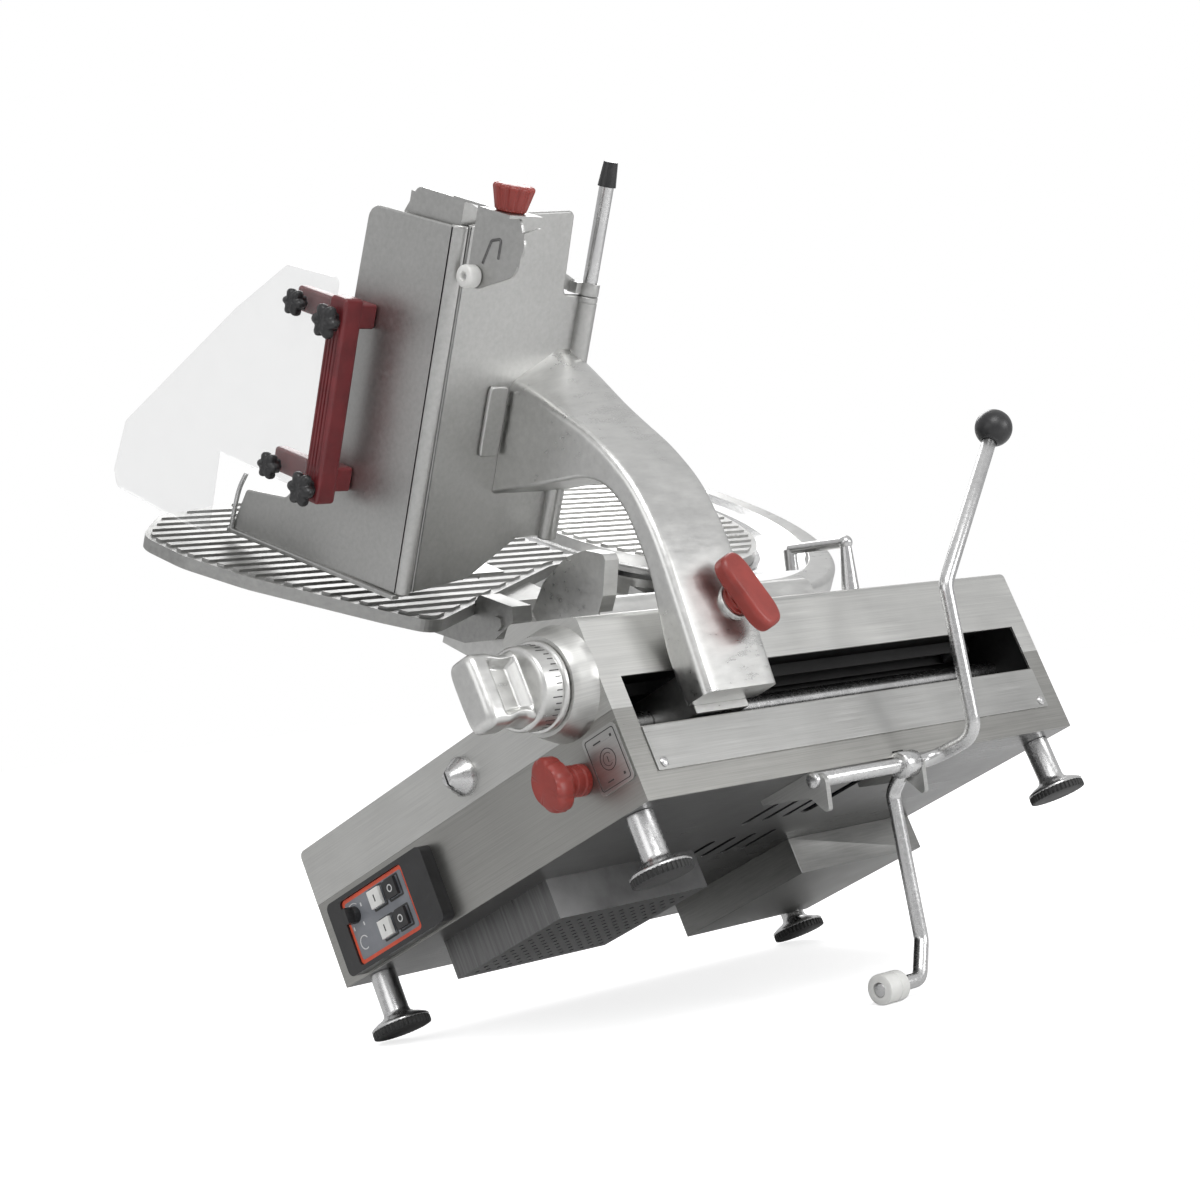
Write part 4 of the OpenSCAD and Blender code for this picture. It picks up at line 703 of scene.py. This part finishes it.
# T-shaped arm knob: pillowed bar with a waist, on a stepped neck
tShape = {"at": (440, 130, 134), "turn": 21.0, "width": 29.7, "height": 65.6, "low": 8.0, "high": 22.8,
          "edge": 4.6, "power": 3.4, "waist": 0.08, "waistLong": 16.0,
          "neck": [(0, -25), (4.8, -25), (5, 0.2), (12.6, 0.4), (12.9, 1.2), (12.9, 4), (11.4, 5.2),
                   (11.4, 7), (12.9, 8.2), (13, 9), (0, 9)]}


# The bar, narrowed across by 1 - waist exp(-(y / length)^2)
def armKnob(shape):
    points, faces = pillow(shape["width"], shape["height"], shape["low"], shape["high"], shape["edge"],
                           shape["power"], 96, 8)
    points[:, 0] *= 1 - shape["waist"] * np.exp(-(points[:, 1] / shape["waistLong"]) ** 2)
    return joined((points, faces), turned(shape["neck"]))


piece("armKnob", armKnob(tShape), alongX(tShape["at"], tShape["turn"]), "red", "t_knob",
      ["t_knob"], 45)

# Selector knob: round body with a flattened face, finger flutes on its rim, ribbed neck
selectShape = {"at": (344, -0.3, 41), "flutes": 8, "fluteDeep": 0.05, "fluteFrom": (15, 6),
               "flat": 0.36, "flatFrom": (12.4, 7), "shaft": [(0, -9), (5.9, -9), (5.9, 0.5), (0, 0.5)],
               "profile": [(0, 0), (12.4, 0), (12.4, 5), (11.2, 6), (11.2, 9), (12.4, 10), (12.4, 14),
                           (11.2, 15), (11.2, 18), (13.5, 20.5), (18.5, 21.2), (20.8, 22.6), (21.9, 25),
                           (21.9, 33.5), (21.2, 36), (19.5, 38), (16, 38.8), (0, 38.9)]}


# The turned body: fluted by 1 - deep cos(flutes angle)^2, then flattened across by 1 - flat, each
# growing from a radius on over a length
def selectorKnob(shape):
    points, faces = turned(shape["profile"], 144)
    radius, angle = polar(points)
    fluteStart, fluteRun = shape["fluteFrom"]
    flatStart, flatRun = shape["flatFrom"]
    flute = np.clip(np.cos(shape["flutes"] * angle), 0, 1) ** 2
    flute *= np.clip((radius - fluteStart) / fluteRun, 0, 1)
    points[:, :2] *= (1 - shape["fluteDeep"] * flute)[:, None]
    points[:, 0] *= 1 - shape["flat"] * np.clip((radius - flatStart) / flatRun, 0, 1)
    return joined((points, faces), turned(shape["shaft"]))


piece("selectorKnob", selectorKnob(selectShape), facing(selectShape["at"]), "red", "selector",
      ["selector_knob"], 45)

# Pusher knob: tapered, with soft flutes and a domed top
pusherShape = {"at": (41, 2, 662), "flutes": 12, "fluteDeep": 0.09, "neck": 12.3,
               "profile": [(0, 0.3), (11, 0.3), (12.2, 1.4), (12.6, 3), (16.2, 17.4), (16.2, 19.1),
                           (15.2, 20.3), (13.2, 20.9), (0, 20.9)]}


# The turned body, outside its neck drawn in by 1 - deep cos(flutes angle) where that is positive
def pusherKnob(shape):
    points, faces = turned(shape["profile"], 144)
    radius, angle = polar(points)
    flute = np.clip(np.cos(shape["flutes"] * angle), 0, 1) * (radius > shape["neck"])
    points[:, :2] *= (1 - shape["fluteDeep"] * flute)[:, None]
    return moved((points, faces), shape["at"])


piece("pusherKnob", pusherKnob(pusherShape), tray, "red", "pusher_knob", ["pusher_knob"], 45)

# Bent wire latch, and the small roller with its bushing and screw
latchShape = {"path": [(24.2, -1.7, 618.5), (30.2, -1.7, 637.5), (40.6, -1.7, 640.8), (40.6, -1.7, 625)],
              "bend": 2.2, "radius": 1.25}
latch = tube(bentPath(latchShape["path"], latchShape["bend"], 6), latchShape["radius"], 14)
piece("pusherLatch", latch, tray, "under", "pusher", ["pusher_latch"])
rollerShape = {"at": (18, -2.3, 607),
               "tyre": [(2.6, 0), (7.6, 0), (8.6, 0.6), (9, 1.8), (9, 9.4), (8.6, 11), (7.4, 11.9),
                        (3.8, 11.9), (3.2, 11.2), (2.9, 9), (2.6, 8.8)],
               "screw": [(0, 0.2), (2.5, 0.2), (2.5, 8.6), (2.1, 9.4), (1.2, 9.5), (1.0, 8.9), (0, 8.9)]}
rollerPlace = facing(rollerShape["at"], tray)
piece("trayRoller", turned(rollerShape["tyre"], closed=True), rollerPlace, "white", "tray_roller",
      ["tray_roller"])
piece("trayRollerScrew", turned(rollerShape["screw"], 32), rollerPlace, "bright", "tray_roller")
print("stage: pusher")

# Index knob: graduated dial and a grip whose sides are scooped, on its shaft with the cam
indexShape = {"at": (357, -20.3, 114), "grip": (29.6, 57.6), "power": 5.0, "low": 24.0, "high": 70.6,
              "edge": 7.0, "scoop": 0.62, "scoopSpan": (24, 7), "scoopDeep": (25, 8, 56, 9),
              "narrow": 0.10, "narrowDeep": (24, 10, 52, 14),
              "dial": [(0, 0), (33.6, 0), (34.8, 0.8), (34.8, 4.4), (34.2, 5), (32.6, 5.3), (32.4, 6),
                       (32.4, 21.5), (31.6, 23.6), (29.8, 24.8), (27, 25), (0, 25)],
              "shaft": [(0, -28), (5.95, -28), (5.95, 0.5), (0, 0.5)], "camAt": (5.0, 0, 0),
              "cam": [(0, -28), (21.4, -28), (22, -27.4), (22, -23.6), (21.4, -23), (0, -23)]}


# The grip: soft rings whose top edge is drawn in as a quarter circle. x is scooped by
# 1 - scoop eased(window across) eased(window along), y narrowed by 1 - narrow eased(window along)
def indexGrip(shape):
    steps = 160
    wide, tall = shape["grip"]
    shoulder = shape["high"] - shape["edge"]
    rise = 1 - np.sin(np.linspace(0.1, math.pi / 2, 12))
    levels = np.concatenate([np.linspace(shape["low"], shoulder, 48), shape["high"] - shape["edge"] * rise])
    rings = []
    for level in levels:
        over = max(0.0, (level - shoulder) / shape["edge"])
        inset = shape["edge"] * (1 - math.sqrt(max(0.0, 1 - over ** 2)))
        ring = softRing(wide / 2 - inset, tall / 2 - inset, shape["power"], steps)
        half, fade = shape["scoopSpan"]
        across = np.clip((half - np.abs(ring[:, 1])) / fade, 0, 1)
        ring[:, 0] *= 1 - shape["scoop"] * eased(across) * eased(window(level, *shape["scoopDeep"]))
        ring[:, 1] *= 1 - shape["narrow"] * eased(window(level, *shape["narrowDeep"]))
        rings.append(np.column_stack([ring, np.full(steps, level)]))
    return capped(rings)


indexAt = facing(indexShape["at"])
indexPart = joined(turned(indexShape["dial"], 128), indexGrip(indexShape), turned(indexShape["shaft"]),
                   moved(turned(indexShape["cam"], 96), indexShape["camAt"]))
piece("indexKnob", indexPart, indexAt, "casting", "index", ["index_knob"], 45)
markShape = {"radius": 32.3, "count": 40, "every": 4, "long": 9.5, "short": 5.5, "wide": 0.9, "corner": 0.2,
             "proud": 0.35, "edge": 0.1, "low": 6.4}


# Graduation marks: small slabs stood on the dial's rim at even angles, every fourth one longer
def dialMarks(shape):
    parts = []
    half = shape["wide"] / 2
    for i in range(shape["count"]):
        high = shape["short"] if i % shape["every"] else shape["long"]
        outline = roundBox(-half, 0, half, high, shape["corner"], 2)
        flat, faces = slab(outline, 0, shape["proud"], shape["edge"], 1)
        x, z, out = flat.T
        a = 2 * math.pi * i / shape["count"]
        c, s, r = math.cos(a), math.sin(a), shape["radius"] + out
        parts.append((np.column_stack([r * c - x * s, r * s + x * c, shape["low"] + z]), faces))
    return joined(*parts)


piece("dialMarks", dialMarks(markShape), indexAt, "print", "index")
print("stage: index knob")

# Control panel: grey film inside the red frame, frames round the buttons, generic marks.
# Arcs are (x, z, radius, width, from, to) and heights are mm in front of the face
panelShape = {"face": -10.0, "film": (45.5, 9.5, 126.5, 58.5), "filmCorner": 2.5, "filmThick": 0.35,
              "filmEdge": 0.12,
              "buttonX": {"start": 90, "stop": 112}, "buttonZ": {"A": 48, "B": 22},
              "frame": (19.2, 1.2), "opening": (16.0, 0.8), "frameHigh": (0.3, 0.6), "printHigh": (0.3, 0.5),
              "arcs": [(55, 22, 6.0, 0.9, 0.5, 5.2), (55, 46, 9.8, 0.8, 0.9, 2.3)],
              "bars": [(101, 51), (101, 45), (101, 25), (101, 19), (66, 51), (48, 36), (62, 36)],
              "bar": (1.4, 3.2, 0.3), "buttonHigh": (4.95, 5.1), "startBar": (1.4, 6.0, 0.2),
              "stopRing": (3.2, 1.0), "bodies": {"A": "blade", "B": "carriage"}}


printEdge = 0.05


# A flat ring or frame between two outlines with the same number of points
def band(outer, inner, low, high):
    rims = [(outer, low), (outer, high), (inner, high), (inner, low)]
    points = np.concatenate([np.column_stack([rim, np.full(len(rim), level)]) for rim, level in rims])
    return points, gridFaces(4, len(outer), True)


# A printed ring, or the part of it between two angles, with a finer edge
def ringBand(x, z, radius, wide, low, high, start=0.0, end=2 * math.pi, steps=48):
    whole = end - start > 6.2
    a = np.linspace(start, end, steps, endpoint=not whole)
    way = np.stack([np.cos(a), np.sin(a)], 1)
    outer, inner = np.array([x, z]) + way * radius, np.array([x, z]) + way * (radius - wide)
    if whole:
        return band(outer, inner, low, high)
    return slab(np.concatenate([outer, inner[::-1]]), low, high, printEdge * 0.4, 1)


# A printed bar round a point
def printedBar(x, z, width, height, corner, low, high, steps=2):
    return slab(middleBox(x, z, width, height, corner, steps), low, high, printEdge, 1)


# A square frame round a button's place
def buttonFrame(shape, x, z):
    size, corner = shape["frame"]
    hole, holeCorner = shape["opening"]
    return band(middleBox(x, z, size, size, corner, 4), middleBox(x, z, hole, hole, holeCorner, 4),
                *shape["frameHigh"])


onFace = facing((0, panelShape["face"], 0))
film = slab(roundBox(*panelShape["film"], panelShape["filmCorner"], 6), 0.0, panelShape["filmThick"],
            panelShape["filmEdge"], 2)
piece("panelFilm", film, onFace, "film", "base")
frames = [buttonFrame(panelShape, x, z) for x in panelShape["buttonX"].values()
          for z in panelShape["buttonZ"].values()]
piece("buttonFrames", joined(*frames), onFace, "print", "base")
low, high = panelShape["printHigh"]
marks = [ringBand(x, z, radius, wide, low, high, start, end)
         for x, z, radius, wide, start, end in panelShape["arcs"]]
marks += [printedBar(x, z, *panelShape["bar"], low, high) for x, z in panelShape["bars"]]
piece("panelMarks", joined(*marks), onFace, "whitePrint", "base")
low, high = panelShape["buttonHigh"]
for row, z in panelShape["buttonZ"].items():
    for kind, x in panelShape["buttonX"].items():
        if kind == "start":
            mark = printedBar(x, z, *panelShape["startBar"], low, high)
        else:
            mark = ringBand(x, z, *panelShape["stopRing"], low, high)
        piece(kind + row + "Mark", mark, onFace, "print" if kind == "start" else "whitePrint",
              panelShape["bodies"][row] + "_" + kind)

# Selector plate: framed print, a ring, an arc and a few bars, all generic
plateShape = {"face": -1.5,
              "outer": (361.5, 22.5, 395.5, 63.5, 2.5), "inner": (362.2, 23.2, 394.8, 62.8, 2.2),
              "ring": (379, 43, 8.5, 0.7), "arc": (379, 43, 5.2, 0.5), "arcSpan": (0.6, 5.4), "high": 0.18,
              "bars": [(390, 58, 2.2, 2.2), (390, 27.5, 2.2, 2.2), (374, 58, 9, 1.1), (374, 27.5, 7, 1.1),
                       (379, 43, 0.8, 5)], "barCorner": 0.4}
high = plateShape["high"]
marks = [band(roundBox(*plateShape["outer"], 5), roundBox(*plateShape["inner"], 5), 0, high),
         ringBand(*plateShape["ring"], 0, high),
         ringBand(*plateShape["arc"], 0, high, *plateShape["arcSpan"])]
marks += [printedBar(*bar, plateShape["barCorner"], 0, high, 3) for bar in plateShape["bars"]]
piece("selectorMarks", joined(*marks), facing((0, plateShape["face"], 0)), "print", "base")
print("stage: panel")

# Lift lever: axle and hand rod in one bent piece, the leg bent from its hub, and the ball
leverShape = {"radius": 6.0, "rod": [(402, 178, -8), (402, 333, -8), (452, 333, -8), (484, 333, 112)],
              "bend": 19.0, "way": (34, 90, 108), "length": 155.0,
              "leg": [(396, 297, -12), (378, 297, -24), (347, 297, -140), (345, 278, -170),
                      (345, 225.6, -170)],
              "legBend": 13.0, "hubAt": (402, 297, -8),
              "hub": [(5.5, -10), (10, -10), (11, -9), (11, 9), (10, 10), (5.5, 10)]}
elbow = np.array(leverShape["rod"][-1], float)
way = unit(np.array(leverShape["way"], float))
handRod = bentPath([*leverShape["rod"], elbow + way * leverShape["length"]], leverShape["bend"], 14)
leg = bentPath(leverShape["leg"], leverShape["legBend"], 12)
hub = laid(turned(leverShape["hub"], closed=True), (0, 2, 1), leverShape["hubAt"])
lever = joined(tube(handRod, leverShape["radius"], 32), tube(leg, leverShape["radius"], 32), hub)
piece("leverRod", lever, machine, "bright", "lever", ["lever_rod"], 50)
ballShape = {"radius": 15.9, "past": 8.0, "flat": -14.4,
             "bore": [(6.1, -12), (6.2, -14.6), (6.4, -15.4), (7.0, -15.0)]}


# The ball: a half circle above its flat end turned about the rod's way, closed at the top
def leverBall(shape, at, way):
    a = np.linspace(-math.pi / 2, math.pi / 2, 40)
    half = np.stack([np.cos(a), np.sin(a)], 1) * shape["radius"]
    half[-1, 0] = 0
    points, faces = turned(np.concatenate([shape["bore"], half[half[:, 1] > shape["flat"]]]), 96)
    side = unit(np.cross(way, [0, 0, 1.0]))
    return at + points @ np.stack([side, np.cross(way, side), way]), faces


ball = leverBall(ballShape, elbow + way * (leverShape["length"] + ballShape["past"]), way)
piece("leverBall", ball, machine, "black", "lever", ["lever_ball"], 50)
wheelShape = {"at": (345, 238, -170),
              "profile": [(6.1, -12.4), (11.2, -12.4), (12.2, -11.6), (12.5, -10), (12.5, -2.5), (12.0, -2),
                          (12.0, 2), (12.5, 2.5), (12.5, 10), (12.2, 11.6), (11.2, 12.4), (6.1, 12.4)]}
wheel = laid(turned(wheelShape["profile"], 72, closed=True), (0, 2, 1), wheelShape["at"])
piece("floorRoller", wheel, machine, "white", "floor_roller", ["floor_roller"])
print("stage: lever")

# Feet: rubber pads with a toothed rim, and a turned bell and leg above each
footShape = {"spots": [(30, 17), (30, 523), (370, 17), (370, 523)], "padAt": -52.0, "legAt": -46.0,
             "radius": 24.9, "teeth": 40, "toothDeep": 0.9, "toothFrom": 0.2,
             "levels": [(0.93, 0.0), (0.985, 0.4), (1, 1.2), (1, 5.2), (0.985, 5.9)],
             "leg": [(0, 0), (24.2, 0), (24.9, 0.7), (24.8, 1.8), (23.6, 2.8), (19, 5.2), (14, 7.2),
                     (11.6, 9.2), (11, 12), (11, 40), (11, 44.2), (11, 45.6), (0, 45.6)]}


# A pad: a circle cut back by the teeth where cos(teeth angle) is high, scaled at each level
def footPad(shape):
    t = np.linspace(0, 2 * math.pi, shape["teeth"] * 6, endpoint=False)
    radius = shape["radius"] - shape["toothDeep"] * (np.cos(shape["teeth"] * t) > shape["toothFrom"])
    outline = np.stack([np.cos(t), np.sin(t)], 1) * radius[:, None]
    return capped([np.column_stack([outline * scale, np.full(len(t), level)])
                   for scale, level in shape["levels"]])


pads = [moved(footPad(footShape), (x, y, footShape["padAt"])) for x, y in footShape["spots"]]
piece("footPads", joined(*pads), machine, "rubber", "base", ["foot_pads"], 30)
legs = [moved(turned(footShape["leg"], 72), (x, y, footShape["legAt"])) for x, y in footShape["spots"]]
piece("footLegs", joined(*legs), machine, "bright", "base", ["legs"], 45)
print("stage: feet")

# Stage three: camera, light and floor
scene = bpy.context.scene
view = {"centre": (1.5887, -1.62298, 0.31143), "right": (0.702932, 0.702655, -0.110287),
        "up": (0.089215, 0.066729, 0.993775), "back": (0.70564, -0.708395, -0.015781), "lens": 76.124}
cameraData = bpy.data.cameras.new("camera")
cameraData.lens = view["lens"]
cameraData.sensor_width = 36.0
cameraData.clip_end = 50.0
camera = bpy.data.objects.new("camera", cameraData)
scene.collection.objects.link(camera)
columns = [(*view[key], 0) for key in ("right", "up", "back")] + [(*view["centre"], 1)]
camera.matrix_world = Matrix(columns).transposed()
scene.camera = camera


# 1 where a ray comes from the camera or through the clear guard, else 0
def seenDirectly(tree, path):
    return mathNode(tree, "MAXIMUM", path["Is Camera Ray"], path["Is Transmission Ray"])


# Studio air: lighter upwards; plain white to the camera, and partly white in reflections
airShape = {"low": (0.22, 0.22, 0.225, 1), "middle": (0.42, 0.42, 0.43, 1), "high": (0.95, 0.95, 0.95, 1),
            "middleAt": 0.42, "heights": (-0.4, 1.0), "strength": 0.8, "shine": 0.45}
world = bpy.data.worlds.new("studio")
scene.world = world
world.use_nodes = True
tree = world.node_tree
path = node(tree, "ShaderNodeLightPath").outputs
coords = node(tree, "ShaderNodeTexCoord").outputs["Generated"]
height = node(tree, "ShaderNodeSeparateXYZ", Vector=coords).outputs["Z"]
ramp = node(tree, "ShaderNodeValToRGB", Fac=spanNode(tree, height, 0.0, 1.0, *airShape["heights"]))
ramp.color_ramp.elements[0].color = airShape["low"]
ramp.color_ramp.elements[1].color = airShape["high"]
ramp.color_ramp.elements.new(airShape["middleAt"]).color = airShape["middle"]
background = tree.nodes["Background"]
feed(tree, background, {"Color": ramp.outputs["Color"], "Strength": airShape["strength"]})
white = node(tree, "ShaderNodeBackground", Color=(1, 1, 1, 1), Strength=1.0)
share = mathNode(tree, "MULTIPLY_ADD", path["Is Glossy Ray"], airShape["shine"], seenDirectly(tree, path))
air = node(tree, "ShaderNodeMixShader", Fac=share, i1=background.outputs[0], i2=white.outputs[0])
feed(tree, tree.nodes["World Output"], {"Surface": air.outputs[0]})

# Soft boxes: place in metres, width in metres, watts; all point to the slicer's middle
lamps = {"key": ((1.6, -0.9, 2.3), 1.5, 30), "fill": ((0.3, -2.4, 1.2), 1.6, 7),
         "back": ((-1.6, 1.4, 1.9), 1.4, 22), "side": ((2.4, 0.9, 0.9), 1.3, 19)}
lampAim = Vector((0.0, 0.0, 0.3))
for name, (at, size, power) in lamps.items():
    data = bpy.data.lights.new(name, "AREA")
    data.shape = "RECTANGLE"
    data.size = size
    data.size_y = size * 0.7
    data.energy = power
    lamp = bpy.data.objects.new(name, data)
    scene.collection.objects.link(lamp)
    lamp.location = at
    lamp.rotation_euler = (lampAim - Vector(at)).to_track_quat("-Z", "Y").to_euler()

# Floor: matt and pale, with a glow for the camera so that it fades into the white behind it
floorShape = {"half": 9.0, "level": -0.0002, "grey": (0.82, 0.82, 0.82, 1), "rough": 0.9, "shine": 0.1,
              "glow": 0.72}
half, level = floorShape["half"], floorShape["level"]
floorMesh = bpy.data.meshes.new("studioFloor")
corners = [(-half, -half, level), (half, -half, level), (half, half, level), (-half, half, level)]
floorMesh.from_pydata(corners, [], [(0, 1, 2, 3)])
floor = bpy.data.objects.new("studioFloor", floorMesh)
scene.collection.objects.link(floor)
floorLook, tree, shader = newFinish("studioFloor", floorShape["grey"])
feed(tree, shader, {"Base Color": floorShape["grey"], "Roughness": floorShape["rough"],
                    "Specular IOR Level": floorShape["shine"]})
path = node(tree, "ShaderNodeLightPath").outputs
glow = node(tree, "ShaderNodeEmission",
            Strength=mathNode(tree, "MULTIPLY", seenDirectly(tree, path), floorShape["glow"]))
both = node(tree, "ShaderNodeAddShader", i0=shader.outputs[0], i1=glow.outputs[0])
feed(tree, tree.nodes["Material Output"], {"Surface": both.outputs[0]})
floorMesh.materials.append(floorLook)
scene.view_settings.view_transform = "Standard"
print("stage: camera and light")
